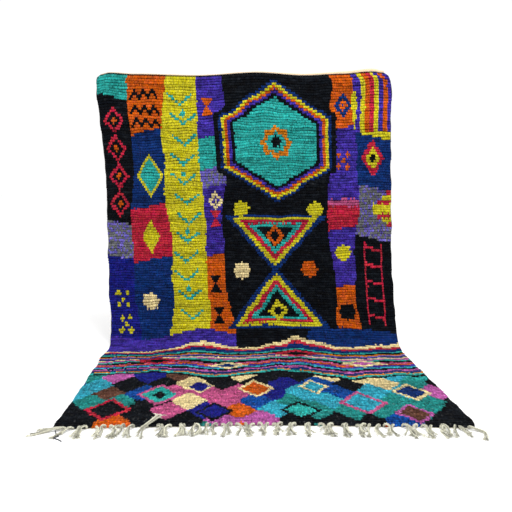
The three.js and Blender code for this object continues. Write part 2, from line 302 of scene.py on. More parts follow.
# two triangles point to point, each with its outlines inside one another
TRIANGLES = ((0.745, 1.075), (1.385, 1.035))  # heights of the foot and of the tip
INSETS = (("royal", 0), ("sun", 0.017), ("crimson", 0.034), ("teal", 0.050), ("night", 0.066))
SHARPER = 2.1  # an outline draws in more at the tip than along the foot
for foot, tip in TRIANGLES:
    way = 1 if foot > tip else -1
    for wool, inset in INSETS:
        inner_foot, inner_tip = foot - way * inset, tip + way * inset * SHARPER
        triangle(0.945, inner_foot, inner_tip, 0.58 * abs((inner_foot - inner_tip) / (foot - tip)), wool)
nest(lozenge(0.945, 0.865, 0.11, 0.13), [("orange", 1.0), ("night", 0.5)])
nest(lozenge(0.945, 1.285, 0.12, 0.12), [("sun", 1.0), ("night", 0.5)])
print("great figures: a hexagon and", len(TRIANGLES), "triangles")

# %% [markdown]
# Between the great figures stand small marks, which weavers know by heart and count out in knots. Most of
# them are drawn here as the great ones are. Hourglasses and zigzags are only a few knots across, and there a
# shape measured in metres would come out ragged, so these two are counted in whole knots as well.

# %% Small marks: stars, hourglasses, seeds and zigzags
HALF_HOURGLASS = 3  # its height from the point, in rows


def hourglass(x, y, wool):
    """Two small triangles, point to point, counted in knots from the one at their point."""
    side, up = np.abs(knot - int(x / KNOT_WIDE)), np.abs(row - int(y / ROW_TALL))
    dye((side <= up) & (up <= HALF_HOURGLASS), wool)


def zigzag(x, y, reach, swings, wool):
    """A line that steps a row up or down with every knot, from the knot and row at a place."""
    along = knot - int(x / KNOT_WIDE)
    for beside in (0, 1):
        step = np.abs((along - beside) % (2 * reach) - reach)
        dye((along >= beside) & (along <= swings * reach) & (row == int(y / ROW_TALL) + step), wool)


def stroke(points, thick=1.15):
    """The knots along a line drawn through the points. Its thickness is counted in knots."""
    points = np.array(points) / (KNOT_WIDE, ROW_TALL)
    x, y = X / KNOT_WIDE, Y / ROW_TALL
    near = np.full(X.shape, np.inf)
    for (x0, y0), (x1, y1) in zip(points, points[1:]):
        t = ((x - x0) * (x1 - x0) + (y - y0) * (y1 - y0)) / ((x1 - x0) ** 2 + (y1 - y0) ** 2)
        t = np.clip(t, 0, 1)
        near = np.minimum(near, np.hypot(x - x0 - t * (x1 - x0), y - y0 - t * (y1 - y0)))
    return near < thick / 2


STARS = [(0.752, 0.715, "sun"), (1.172, 0.715, "sun"), (0.752, 1.06, "cream"), (1.135, 1.05, "orange"),
         (1.33, 0.96, "sun"), (1.335, 1.29, "night"), (0.235, 1.235, "cream")]
HOURGLASSES = [(0.612, 0.77, "crimson"), (0.592, 0.15, "orange"), (0.60, 1.13, "night"),
               (0.61, 1.31, "night")]
for x, y, wool in STARS:
    nest(star(x, y, 0.050), [(wool, 1.0)])
for x, y, wool in HOURGLASSES:
    hourglass(x, y, wool)
for x, y, wool in ((1.335, 0.45, "orange"), (0.075, 1.22, "sun"), (0.085, 1.36, "sun")):  # five seeds each
    for side, up in ((0, 0), (-1, -1), (1, -1), (-1, 1), (1, 1)):
        nest(lozenge(x + 0.024 * side, y + 0.034 * up, 0.030, 0.036), [(wool, 1.0)])
for k in range(3):  # zigzags across the orange piece
    zigzag(0.172, 0.070 + 0.080 * k, 3, 6, "night")
print(len(STARS), "stars and", len(HOURGLASSES), "hourglasses")

# %% Lozenges, chevrons, steps and a ladder
for x, y, wide, wool, field in (
    (0.61, 0.665, 0.085, "cream", "violet"), (1.335, 0.155, 0.10, "royal", "orange"),
):
    nest(lozenge(x, y, wide, 1.25 * wide), [(wool, 1.0), (field, 0.52), (wool, 0.16)])
for k in range(12):  # chevrons up the yellow panel, every third with a seed above it
    x, y = 0.447 + 0.012 * math.sin(1.3 * k), 0.13 + 0.108 * k
    dye(stroke([(x - 0.064, y - 0.04), (x, y + 0.012), (x + 0.064, y - 0.04)]), "teal")
    if k % 3 == 1:
        nest(lozenge(x, y - 0.045, 0.035, 0.05), [("teal", 1.0)])
for k in range(4):  # a chain of open lozenges
    nest(lozenge(0.073, 0.235 + k * 0.150, 0.115, 0.150), [
        ("crimson", 1.0), ("night", 0.68), ("orange", 0.30)])
nest(lozenge(0.248, 0.53, 0.15, 0.25), [("sun", 1.0), ("teal", 0.78)])
nest(lozenge(0.245, 0.87, 0.10, 0.19), [("sun", 1.0)])
nest(lozenge(1.500, 0.44, 0.13, 0.20), [("crimson", 1.0), ("sun", 0.60), ("night", 0.30)])
for k in range(4):  # steps up the right-hand edge
    dye((X > 1.575 - 0.026 * k) & (np.abs(Y - 0.715) < 0.105 - 0.026 * k), ("crimson", "sun")[k % 2])
for k in range(5):  # a ladder on the dark foot of the right-hand panel
    dye(stroke([(1.455, 0.93 + 0.095 * k), (1.545, 0.95 + 0.095 * k)]), "crimson")
dye(stroke([(1.455, 0.90), (1.455, 1.35)]) | stroke([(1.545, 0.92), (1.545, 1.37)]), "crimson")
# upright stripes in the right-hand corner
for k, wool in enumerate(("violet", "sun", "orange", "crimson", "sun", "violet", "orange", "violet")):
    left = 1.405 + 0.0245 * k + 0.006 * np.sin(9 * Y)
    dye((X >= left) & (X < left + 0.03) & (Y < 0.30), wool)
print("crimson knots so far:", int((tied == wool_number["crimson"]).sum()))

# %% [markdown]
# Where the rug bends, the weaver changed wool every row or two, so that thin stripes run from edge to edge.
# They rise and fall, because nothing was measured. Straight bands would look printed. So two lines with
# their own ups and downs bound the stripes, and each knot finds its stripe by its share of the way between.

# %% Thin stripes across the bend
def level(points):
    """A line across the rug: how far down it runs at each knot."""
    return np.interp(X, *zip(*points))


stripes_top = level([(0, 1.60), (0.25, 1.56), (0.52, 1.45), (0.74, 1.53), (1.02, 1.43), (1.34, 1.52),
                     (1.6, 1.47)])
stripes_foot = level([(0, 1.93), (0.30, 1.88), (0.60, 1.97), (0.92, 1.87), (1.22, 1.98), (1.6, 1.92)])
STRIPES = [  # wool and breadth, from the top
    ("cream", 1.6), ("crimson", 1.2), ("royal", 2.4), ("teal", 1.2), ("night", 1.2), ("amber", 1.1),
    ("lavender", 1), ("royal", 1.4), ("cream", 0.8), ("mauve", 1.2), ("teal", 1.2), ("night", 1.4),
    ("pink", 1), ("orange", 0.9), ("violet", 1.2), ("cyan", 1.1), ("night", 1.2), ("mauve", 1.1),
    ("royal", 1.6), ("amber", 0.8), ("teal", 1.3), ("night", 1.2),
]
share = (Y - stripes_top) / (stripes_foot - stripes_top) + 0.012 * np.sin(19 * X) + 0.01 * np.sin(43 * X + 1)
# fields of violet and royal reach down to the first stripe
dye((Y > 1.42 + 0.03 * np.sin(9 * X)) & (share < 0) & (X < 0.70), "violet")
dye((Y > 1.40 + 0.02 * np.sin(7 * X + 2)) & (share < 0) & (X > 1.10), "royal")
starts = np.cumsum([0] + [breadth for _, breadth in STRIPES])
starts = starts / starts[-1]
for (wool, _), top, foot in zip(STRIPES, starts, starts[1:]):
    dye((share >= top) & (share < foot), wool)
for x, y, wide, rim, heart in (
    (0.30, 1.72, 0.24, "crimson", "night"), (1.02, 1.60, 0.28, "crimson", "night"),
    (0.66, 1.79, 0.22, "cream", "royal"), (1.34, 1.77, 0.24, "cream", "mauve"),
):
    nest(lozenge(x, y, wide, 0.40 * wide), [(rim, 1.0), (heart, 0.55)])
print(len(STRIPES), "stripes")

# %% [markdown]
# The patchwork has no plan either. Hearts of lozenges are strewn on a loose grid, and each knot takes the
# wool of its nearest heart, where near is measured as a lozenge measures it. A few patches get a rim.

# %% A patchwork of lozenges at the lying end
PATCHES = ["night", "sea", "pink", "blue", "cyan", "sea", "night", "mauve", "orange", "cyan", "night",
           "blue", "brown", "teal", "night", "cream", "sea", "cream", "ultramarine"]
PATCH_ROWS, PATCH_COLUMNS = range(7), range(-1, 13)
COLUMN_WIDE, ROW_HIGH = 0.142, 0.098  # of the grid of hearts, in metres
PATCH_HIGH = 0.170  # a lozenge of the patchwork is taller than its row
hearts = np.array([((column + 0.5 * (line % 2)) * COLUMN_WIDE, 1.93 + line * ROW_HIGH)
                   for line in PATCH_ROWS for column in PATCH_COLUMNS])
hearts = hearts + chance.uniform((-0.024, -0.018), (0.024, 0.018), (len(hearts), 2))
away = np.abs(X[..., None] - hearts[:, 0]) / COLUMN_WIDE + np.abs(Y[..., None] - hearts[:, 1]) / PATCH_HIGH
patch_wools = np.array([wool_number[PATCHES[k % len(PATCHES)]] for k in chance.permutation(len(hearts))])
in_corner = (np.abs(hearts[:, 0] - 0.8) > 0.66) & (hearts[:, 1] > 2.25)
patch_wools[in_corner] = wool_number["night"]
below = share >= 1
tied[below] = patch_wools[away.argmin(axis=-1)][below]
for x, y, wide, rim, heart in (
    (0.36, 2.15, 0.20, "pink", "teal"), (0.78, 2.09, 0.17, "cream", "orange"),
    (1.22, 2.24, 0.21, "pink", "cyan"), (0.95, 2.32, 0.17, "night", "teal"),
    (0.17, 2.30, 0.19, "crimson", "night"), (1.46, 2.12, 0.17, "cream", "royal"),
    (0.60, 2.33, 0.16, "night", "ultramarine"), (1.04, 2.07, 0.14, "cream", "cyan"),
    (0.53, 2.06, 0.13, "cream", "ultramarine"), (1.40, 2.34, 0.16, "mauve", "brown"),
):
    nest(lozenge(x, y, wide, 1.15 * wide), [(rim, 1.0), (heart, 0.76)])
nest(lozenge(0.36, 2.15, 0.06, 0.08), [("night", 1.0)])
used = np.bincount(tied.ravel(), minlength=len(WOOLS)) / tied.size
print({name: f"{100 * part:.0f} %" for name, part in zip(WOOLS, used)})

# %% [markdown]
# ## The colour of each knot
#
# Hand-dyed wool is never even. Each batch gives its rows a slightly different tone, which weavers call
# abrash, and each knot catches a lighter or darker bit of yarn. We work both into the table of colours,
# and leave only the fine fibres to the material. Shaders expect linear colour, so the display colours are
# converted once, here.

# %% Dye the knots
def linear(display):
    """The linear colour of a display colour of 0 to 255, by the usual curve of displays."""
    share = np.asarray(display, float) / 255
    return np.where(share <= 0.04045, share / 12.92, ((share + 0.055) / 1.055) ** 2.4)


def run_on(lines, reach):
    """Random lines made to run on softly from each place to those beside it."""
    return np.stack([np.convolve(line, np.hanning(reach), "same") for line in lines])


# how much the tone changes from batch to batch, row to row, stretch to stretch, dash to dash, knot to knot
BATCH_TONE, ROW_TONE, STREAK_TONE, DASH_TONE, KNOT_TONE = 0.13, 0.045, 0.028, 0.6, 0.10
BATCH_ROWS, STREAK_KNOTS, DASH_KNOTS = 5, 27, 7  # how far such a change reaches
HUE = 0.012  # how much the hue of single knots differs
PALE_FIBRES_AND_SHEEN, PALE_LINT_AND_GLINTS = 0.008, 0.0012  # what undyed fibres and lint add, with painted sheen and glints among them, which show on dark wools only
# how much each wool's dashes show; the dark ones show their lighter fibres most
UNEVEN = dict.fromkeys(WOOLS, 0.10) | {
    "violet": 0.26, "royal": 0.17, "night": 0.30, "ultramarine": 0.16, "teal": 0.12, "lavender": 0.20,
    "blue": 0.16, "sun": 0.06,
}
batch = chance.normal(0, BATCH_TONE, ROWS + BATCH_ROWS - 1)
batch = np.convolve(batch, np.ones(BATCH_ROWS) / BATCH_ROWS, "valid")[:, None, None]
each_row = chance.normal(0, ROW_TONE, (ROWS, 1, 1))
streaks = run_on(chance.normal(0, STREAK_TONE, (ROWS, KNOTS)), STREAK_KNOTS)[..., None]
each_knot = chance.normal(0, KNOT_TONE, (ROWS, KNOTS, 1))
dashes = run_on(chance.normal(0, DASH_TONE, (ROWS, KNOTS)), DASH_KNOTS)[..., None]
dashes = dashes * np.array(list(UNEVEN.values()))[tied][..., None]
dyed = linear(list(WOOLS.values()))[tied]
dyed = dyed * np.clip(1 + batch + each_row + streaks + dashes + each_knot, 0.5, 1.8)
dyed = dyed + chance.normal(0, HUE, dyed.shape) * dyed.max(axis=2, keepdims=True)
# pale fibres and lint, which are also painted sheen and glints on the dark wools
dyed = dyed + PALE_FIBRES_AND_SHEEN * np.clip(dashes, 0, None) + np.abs(chance.normal(0, PALE_LINT_AND_GLINTS, (ROWS, KNOTS, 1)))
dyed = np.clip(dyed, 0.002, 1)
print("darkest and lightest knot:", dyed.min().round(4), dyed.max().round(3))

# %% [markdown]
# ## Wool in a shader
#
# Every piece here is wool, so the look of its fibres is built once, as a node group, and each material
# gives it its own sizes. The group puts out a colour and a height. The height feeds a Bump node in the
# material. The Principled shader stays in the material, with a high roughness, little gloss and some sheen
# for the fuzz at the edges.

# %% Helpers for nodes
def adders(tree):
    """Two short calls for one tree: one adds a node, the other a Math node whose result it gives."""

    def add(kind, inputs=None, **settings):
        made = tree.nodes.new(kind)
        for name, value in settings.items():
            setattr(made, name, value)
        for name, value in (inputs or {}).items():
            if isinstance(value, bpy.types.NodeSocket):
                tree.links.new(value, made.inputs[name])
            else:
                made.inputs[name].default_value = value
        return made

    def calc(operation, *values):
        return add("ShaderNodeMath", dict(enumerate(values)), operation=operation).outputs[0]

    return add, calc


def new_group(name, kind, inputs, outputs):
    """An empty node group with named sockets: name, socket type and, for some, the value it starts with."""
    tree = bpy.data.node_groups.new(name, kind)
    for way, sockets in (("INPUT", inputs), ("OUTPUT", outputs)):
        for label, socket_type, *start in sockets:
            made = tree.interface.new_socket(label, in_out=way, socket_type="NodeSocket" + socket_type)
            if start:
                made.default_value = start[0]
    return tree, tree.nodes.new("NodeGroupInput").outputs, tree.nodes.new("NodeGroupOutput").inputs


# %% The fibres of wool
fibres, given, out = new_group(
    "Wool fibres", "ShaderNodeTree",
    [("Wool", "Color"), ("Fibres per Metre", "Float"), ("Mottling", "Float")],
    [("Colour", "Color"), ("Height", "Float")])
add, calc = adders(fibres)
place = add("ShaderNodeTexCoord").outputs["Object"]
fine = add("ShaderNodeTexNoise", {"Vector": place, "Scale": given["Fibres per Metre"], "Detail": 2.0})
broad = add("ShaderNodeTexNoise", {"Vector": place, "Scale": 70.0, "Detail": 3.0})
# single fibres over broader patches, 1 on average
light = calc("ADD", calc("MULTIPLY", fine.outputs[0], 1.2), calc("MULTIPLY", broad.outputs[0], 0.8))
light = calc("MULTIPLY_ADD", calc("SUBTRACT", light, 1.0), given["Mottling"], 1.0)
tinted = add("ShaderNodeVectorMath", {0: given["Wool"], "Scale": light}, operation="SCALE")
fibres.links.new(tinted.outputs[0], out["Colour"])
fibres.links.new(fine.outputs[0], out["Height"])


def wool_material(name, fibres_per_metre=700.0, mottling=0.35, bump=0.35, sheen=0.02, colour=None):
    """A wool whose colour is the mesh's own "wool" attribute, or one plain colour.

    Returns the material, and the nodes of its fibres and of its bump."""
    made = bpy.data.materials.new(name)
    made.use_nodes = True
    tree = made.node_tree
    add, _ = adders(tree)
    hair = add("ShaderNodeGroup", node_tree=fibres)
    if colour:
        hair.inputs["Wool"].default_value = (*linear(colour), 1)
    else:
        own = add("ShaderNodeAttribute", attribute_name="wool").outputs["Color"]
        tree.links.new(own, hair.inputs["Wool"])
    hair.inputs["Fibres per Metre"].default_value = fibres_per_metre
    hair.inputs["Mottling"].default_value = mottling
    relief = add("ShaderNodeBump", {"Height": hair.outputs["Height"], "Strength": bump, "Distance": 0.001})
    shader = tree.nodes["Principled BSDF"]
    for socket, value in (("Roughness", 0.92), ("Specular IOR Level", 0.06),
                          ("Sheen Weight", sheen), ("Sheen Roughness", 0.4)):
        shader.inputs[socket].default_value = value
    tree.links.new(hair.outputs["Colour"], shader.inputs["Base Color"])
    tree.links.new(relief.outputs[0], shader.inputs["Normal"])
    return made, hair, relief


print("Wool fibres:", len(fibres.nodes), "nodes")

# %% [markdown]
# The root of a lock lies in the shade of its neighbours. Light is thrown to and fro between pale locks,
# which fills the gaps between them, but dark wool swallows it, so its gaps are deeper. Each corner of a
# lock keeps how much daylight reaches it, and the material makes the shade deeper the darker the wool is.

# %% The wool of the pile
OPEN = 0.88  # the daylight that is the same for all wools
DEEP, PLAIN = 4.2, 1.0  # how the shade of the darkest wool deepens, and that of a pale one
pile_wool, hair, _ = wool_material("pile wool")
tree = pile_wool.node_tree
add, calc = adders(tree)
depth = add("ShaderNodeAttribute", attribute_name="daylight").outputs["Fac"]
paleness = add("ShaderNodeRGBToBW", {0: hair.outputs["Colour"]}).outputs[0]
gloom = add("ShaderNodeMapRange", {0: paleness, 1: 0.0, 2: 0.30, 3: DEEP, 4: PLAIN}).outputs[0]
depth = calc("MULTIPLY", calc("POWER", calc("DIVIDE", depth, OPEN), gloom), OPEN)
shaded = add("ShaderNodeVectorMath", {0: hair.outputs["Colour"], "Scale": depth}, operation="SCALE")
tree.links.new(shaded.outputs[0], tree.nodes["Principled BSDF"].inputs["Base Color"])
print(pile_wool.name, "has", len(tree.nodes), "nodes")

# %% [markdown]
# ## The woven ground
#
# Under the pile lies a firm cloth of warps, wefts and the backs of the knots. From the front it only shows
# between the locks and at the edges. From behind it is the whole rug: flat rows of coloured loops, with the
# undyed wefts between them. A plane with a Solidify modifier would do, but a grid with a face for every
# knot, laid on the drape by our own function, lets each face carry the colour of its knot.

# %% Helpers for meshes
def place_piece(piece, slot):
    """Puts a piece in the scene, where it rides with the rug's one body."""
    bpy.context.scene.collection.objects.link(piece)
    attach(piece, "root")
    return piece


def new_piece(name, points, faces, material, slot):
    """A smooth mesh piece from its points, in metres, and its faces."""
    mesh = bpy.data.meshes.new(name)
    mesh.from_pydata(points.tolist(), [], [list(map(int, face)) for face in faces])
    mesh.materials.append(material)
    mesh.polygons.foreach_set("use_smooth", np.full(len(mesh.polygons), True))
    mesh.update()
    return place_piece(bpy.data.objects.new(name, mesh), slot)


def store(mesh, name, kind, domain, values):
    """Keeps a value for each point, corner or face of a mesh."""
    field = {"FLOAT_COLOR": "color", "FLOAT": "value"}.get(kind, "vector")
    mesh.attributes.new(name, kind, domain).data.foreach_set(field, np.asarray(values, np.float32).ravel())


def store_uv(mesh, name, corners):
    """Keeps a map, with one place for each corner of each face."""
    mesh.uv_layers.new(name=name).uv.foreach_set("vector", np.asarray(corners, np.float32).ravel())


def opaque(colours):
    """Colours with an alpha of 1."""
    return np.concatenate([colours, np.ones((*np.shape(colours)[:-1], 1))], axis=-1)


def ring_faces(count, around, turned=False):
    """The faces between closed rings of points. Turned, they face the other way."""
    first = np.arange(count - 1)[:, None] * around
    here, beside = first + np.arange(around), first + (np.arange(around) + 1) % around
    corners = [here, here + around, beside + around, beside]
    if turned:
        corners = [here, beside, beside + around, here + around]
    return np.stack(corners, axis=-1).reshape(-1, 4)


# %% [markdown]
# On the back each knot is a coloured bump of two loops, and a thin ridge of undyed weft lies between the rows
# of knots. A map that counts knots across and rows down tells the shader where it is, so both come from
# sines of that map.

# %% The back of the cloth in a shader
backs, given, out = new_group(
    "Backs of knots", "ShaderNodeTree",
    [("Wool", "Color"), ("Weft", "Color"), ("Knots", "Vector")], [("Colour", "Color"), ("Height", "Float")])
add, calc = adders(backs)
across_rows = add("ShaderNodeSeparateXYZ", {0: given["Knots"]})
loop = calc("ABSOLUTE", calc("SINE", calc("MULTIPLY", across_rows.outputs[0], 2 * math.pi)))
in_row = calc("FRACT", across_rows.outputs[1])
bulge = calc("SINE", calc("MULTIPLY", in_row, math.pi))
is_knot = add("ShaderNodeMapRange", {0: bulge, 1: 0.25, 2: 0.50}, interpolation_type="SMOOTHSTEP").outputs[0]
picks = calc("ABSOLUTE", calc("SINE", calc("MULTIPLY", calc("ADD", in_row, 0.5), 5 * math.pi)))
knot_height = calc("MULTIPLY", calc("MULTIPLY_ADD", loop, 0.5, 0.5), bulge)
height = add("ShaderNodeMix", {0: is_knot, 2: calc("MULTIPLY", picks, 0.35), 3: knot_height}).outputs[0]
# painted shade: the back's colour is darker where the weave lies low, between the loops and along the picks
shade = calc("MULTIPLY_ADD", height, 0.5, 0.52)
both = add("ShaderNodeMix", {0: is_knot, 6: given["Weft"], 7: given["Wool"]}, data_type="RGBA").outputs[2]
tinted = add("ShaderNodeVectorMath", {0: both, "Scale": shade}, operation="SCALE")
backs.links.new(tinted.outputs[0], out["Colour"])
backs.links.new(height, out["Height"])

ground_wool, hair, relief = wool_material("woven ground", mottling=0.5)
tree = ground_wool.node_tree
add, calc = adders(tree)
weave = add("ShaderNodeGroup", node_tree=backs)
weave.inputs["Weft"].default_value = (*linear((150, 134, 108)), 1)
tree.links.new(add("ShaderNodeAttribute", attribute_name="wool").outputs["Color"], weave.inputs["Wool"])
tree.links.new(add("ShaderNodeUVMap", uv_map="Knots").outputs[0], weave.inputs["Knots"])
tree.links.new(weave.outputs["Colour"], hair.inputs["Wool"])
threads = add("ShaderNodeBump", {"Height": weave.outputs["Height"], "Strength": 0.9, "Distance": 0.003})
tree.links.new(threads.outputs[0], relief.inputs["Normal"])
print(ground_wool.name, "has", len(tree.nodes), "nodes")

# %% [markdown]
# No hand beats the wefts in quite evenly, so the rows wander together by a few millimetres. A few long waves
# in random directions give that, and each side edge wanders a little by itself as well.

# %% The rows aren't quite straight
drift = np.random.default_rng(5)
# wave across and wave down in millimetres, where it starts (the first of a pair), and which way it leans
SWELL = [(drift.uniform(110, 420), drift.uniform(90, 330), drift.uniform(0, 2 * np.pi, 2)[0],
          drift.choice([-1, 1])) for _ in range(14)]
# wave down in millimetres, and where it starts on the left and on the right
EDGE_SWELL = [(drift.uniform(35, 260), *drift.uniform(0, 2 * np.pi, 2)) for _ in range(8)]
SIDEWAYS, LENGTHWAYS, EDGE_WANDER = 0.4, 0.95, 0.8  # how far each wave moves a knot, in millimetres
EDGE_BAND = 45.0  # how far in from an edge its own wander is felt, in millimetres
ENDS_HELD, SIDES_HELD = 60.0, 40.0  # how near an end or a side the rows begin to be held straight


def strayed(across, down):
    """How far knots lie from the straight grid: sideways and down, in millimetres."""
    waves = sum(np.sin(2 * np.pi * (across * WIDTH / wide + way * down / long) + start)
                for wide, long, start, way in SWELL)
    away = np.minimum(across, 1 - across) * WIDTH
    ends_held = np.clip(np.minimum(down, LENGTH - down) / ENDS_HELD, 0, 1)
    held = ends_held * np.clip(away / SIDES_HELD, 0, 1)
    edge = sum(np.sin(2 * np.pi * down / long + np.where(across < 0.5, left, right))
               for long, left, right in EDGE_SWELL)
    edge = EDGE_WANDER * edge * ends_held * np.clip(1 - away / EDGE_BAND, 0, 1)
    return waves * held * SIDEWAYS + edge, waves * held * LENGTHWAYS


# %% Lay the ground on the drape
GROUND_FRONT, GROUND_BACK = -3.0, -9.0  # from the middle of the rug's thickness
SELVEDGE = 5.0  # how far the rounded edge stands out
shares, downs = np.linspace(0, 1, KNOTS + 1), np.linspace(0, LENGTH, ROWS + 1)
aside, further = strayed(shares[None, :], downs[:, None])
place, _, face = on_rug(shares + aside / WIDTH, downs[:, None] + further)
front, back = place + face * GROUND_FRONT, place + face * GROUND_BACK
# the weft-faced edge is a rounded roll
left, right = (front[:, :1] + back[:, :1]) / 2, (front[:, -1:] + back[:, -1:]) / 2
rings = np.concatenate([left - (SELVEDGE, 0, 0), front, right + (SELVEDGE, 0, 0), back[:, ::-1]], axis=1)
around = rings.shape[1]
faces = ring_faces(ROWS + 1, around)
# each end is closed by a strip of faces from the front to the back
half = KNOTS + 2
ends = []
for start, turn in ((0, 1), (ROWS * around, -1)):
    for j in range(half):
        cap = [start + j, start + j + 1, start + around - j - 1, start + (around - j) % around]
        ends.append(list(dict.fromkeys(cap))[::turn])
ground = new_piece("woven_ground", metres(rings.reshape(-1, 3)), [*faces, *ends], ground_wool, "pile")
print("ground:", len(ground.data.polygons), "faces")

# %% Colour the ground
# the knot whose colour each side face takes, going once round a ring
segment = np.concatenate([[0], np.arange(KNOTS), [KNOTS - 1, KNOTS - 1], np.arange(KNOTS)[::-1], [0]])
under_pile = np.arange(around) <= KNOTS + 1
side_colours = np.repeat(dyed[:, segment].reshape(-1, 3), 4, axis=0)
end_colours = [dyed[line, min(j, KNOTS - 1)]
               for line, caps in ((0, ends[:half]), (-1, ends[half:]))
               for j, cap in enumerate(caps) for _ in cap]
store(ground.data, "wool", "FLOAT_COLOR", "CORNER", opaque(np.vstack([side_colours, end_colours])))
# the side under the pile and the two ends are all wool, in the shade
IN_SHADE = 0.5
store(ground.data, "daylight", "FLOAT", "POINT", np.full(len(ground.data.vertices), IN_SHADE))
ground.data.materials.append(pile_wool)
is_wool = np.append(np.tile(under_pile, ROWS), [True] * len(ends))
ground.data.polygons.foreach_set("material_index", is_wool.astype(np.int32))
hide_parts("rug_field")
print("faces of plain wool:", int(is_wool.sum()))

# %% [markdown]
# Every face needs a place of its own on a map, on which its material can be turned into a picture.
# Blender could unwrap the mesh by itself, but the rings make it simple: the front takes the left half of the
# map, the back takes the right half, and the thin caps at the ends lie in strips above them.

# %% Map the ground
# Where each point of a ring lies, in knots across and on the map, whose left half is the front. The edge at
# which a ring starts is there twice, because the back's strip of the map ends at it.
EDGE_KNOT = 0.4  # how far the rolled edge reaches past the outermost knot, in knots
knot_at = np.concatenate([[-EDGE_KNOT], np.arange(KNOTS + 1), [KNOTS + EDGE_KNOT], np.arange(KNOTS + 1)[::-1],
                          [-EDGE_KNOT]])
map_at = np.concatenate([[0.002], 0.010 + 0.475 * shares, [0.493], 0.985 - 0.475 * shares[::-1], [0.998]])
steps = np.array([(0, 0), (0, 1), (1, 1), (1, 0)])
column = np.arange(around)[None, :, None] + steps[:, 0]
line = np.arange(ROWS)[:, None, None] + steps[:, 1]
side_knots = np.stack(np.broadcast_arrays(knot_at[column], line), axis=-1).reshape(-1, 2)
side_map = np.stack(np.broadcast_arrays(map_at[column], 0.01 + 0.96 * line / ROWS), axis=-1).reshape(-1, 2)
# the caps at the two ends
cap_point = np.concatenate(ends)
at, low_end = cap_point % around, cap_point >= ROWS * around
share = np.minimum(at, around - at) / half
rise = np.where(at == 0, 0.0045, np.where(at <= half, 0.009, 0.0))
cap_knots = np.stack([share * KNOTS, 0 * share], axis=-1)
cap_map = np.stack([0.01 + 0.97 * share, 0.975 + 0.012 * low_end + rise], axis=-1)
store_uv(ground.data, "Knots", np.vstack([side_knots, cap_knots]))
store_uv(ground.data, "OFBake", np.vstack([side_map, cap_map]))
print("maps of the ground:", [layer.name for layer in ground.data.uv_layers])

# %% [markdown]
# ## The pile
#
# Each knot stands out as two short ends of yarn. They are long and lean down the rug, so every row lies on
# the next one like thatch, and the rows show as soft ridges with a dark line between them. Hair particles
# would render, but they are lost when the rug is exported. Geometry Nodes lay a small mesh of a lock on a
# point for each end instead, and realize the copies. There are almost seventy thousand locks, so each has
# seven faces only: a pointed root, a belly and a blunt tip.

# %% One lock of yarn
# along the lock from its root, to the side, and up from the cloth, as shares of its length and breadth
LOCK = [
    (0, 0, 0), (0.52, -0.50, 0), (0.52, 0.50, 0), (0.50, 0, 0.95),
    (0.97, -0.42, -0.02), (0.97, 0.42, -0.02), (0.90, 0, 0.62),
]
ROOT_FACES = [(0, 2, 1), (0, 3, 2), (0, 1, 3)]
BELLY_FACES = [(1, 2, 5, 4), (2, 3, 6, 5), (3, 1, 4, 6)]
TIP_FACE = (4, 5, 6)
DAYLIGHT = [0.34, 0.85, 0.85, 0.85, 0.80, 0.80, 0.92]  # how much light reaches each of its points
lock_mesh = bpy.data.meshes.new("lock")
lock_mesh.from_pydata(LOCK, [], [*ROOT_FACES, *BELLY_FACES, TIP_FACE])
lock_mesh.polygons.foreach_set("use_smooth", [True] * 6 + [False])  # the cut end is sharp
store(lock_mesh, "daylight", "FLOAT", "POINT", DAYLIGHT)
lock_mesh.materials.append(pile_wool)
lock = bpy.data.objects.new("lock", lock_mesh)

# its unwrapped faces in a unit cell: three sides next to each other, and the cut end above them
STRIPS = [(side / 3 + 0.02, side / 3 + 0.31) for side in range(3)]
root_map = [[((low + high) / 2, 0.03), (high, 0.42), (low, 0.42)] for low, high in STRIPS]
belly_map = [[(low, 0.42), (high, 0.42), (high, 0.84), (low, 0.84)] for low, high in STRIPS]
tip_map = [[(0.1, 0.87), (0.9, 0.87), (0.5, 0.98)]]
LOCK_MAP = np.array([corner for face_map in root_map + belly_map + tip_map for corner in face_map])
print("a lock:", len(LOCK), "points and", len(lock_mesh.polygons), "faces")

# %% [markdown]
# The tree gets the points on which the locks stand, and one lock. It turns each copy to the angles that its
# point keeps in the attribute "lie", adds a little stray, and makes some longer, broader or taller than
# others. All of that chance comes from one seed.

# %% The nodes that lay the pile
FLATTENED = 0.49  # how tall a lock is for its breadth
ROLL, NOD = 2.0, 0.5  # how much more a lock strays round its length and up or down than to the sides
pile_nodes, given, out = new_group(
    "Lay the pile", "GeometryNodeTree",
    [("Ends", "Geometry"), ("Lock", "Object"), ("Length", "Float", 0.0225), ("Breadth", "Float", 0.0113),
     ("Stray", "Float", 0.08), ("Unevenness", "Float", 0.07), ("Seed", "Int", 1), ("Wool", "Material")],
    [("Pile", "Geometry")])
add, calc = adders(pile_nodes)
least, most = calc("SUBTRACT", 1.0, given["Unevenness"]), calc("ADD", 1.0, given["Unevenness"])


def uneven(step):
    """A number near 1 for each end, different for each step of the seed."""
    seed = calc("ADD", given["Seed"], float(step))
    return add("FunctionNodeRandomValue", {2: least, 3: most, "Seed": seed}).outputs[1]


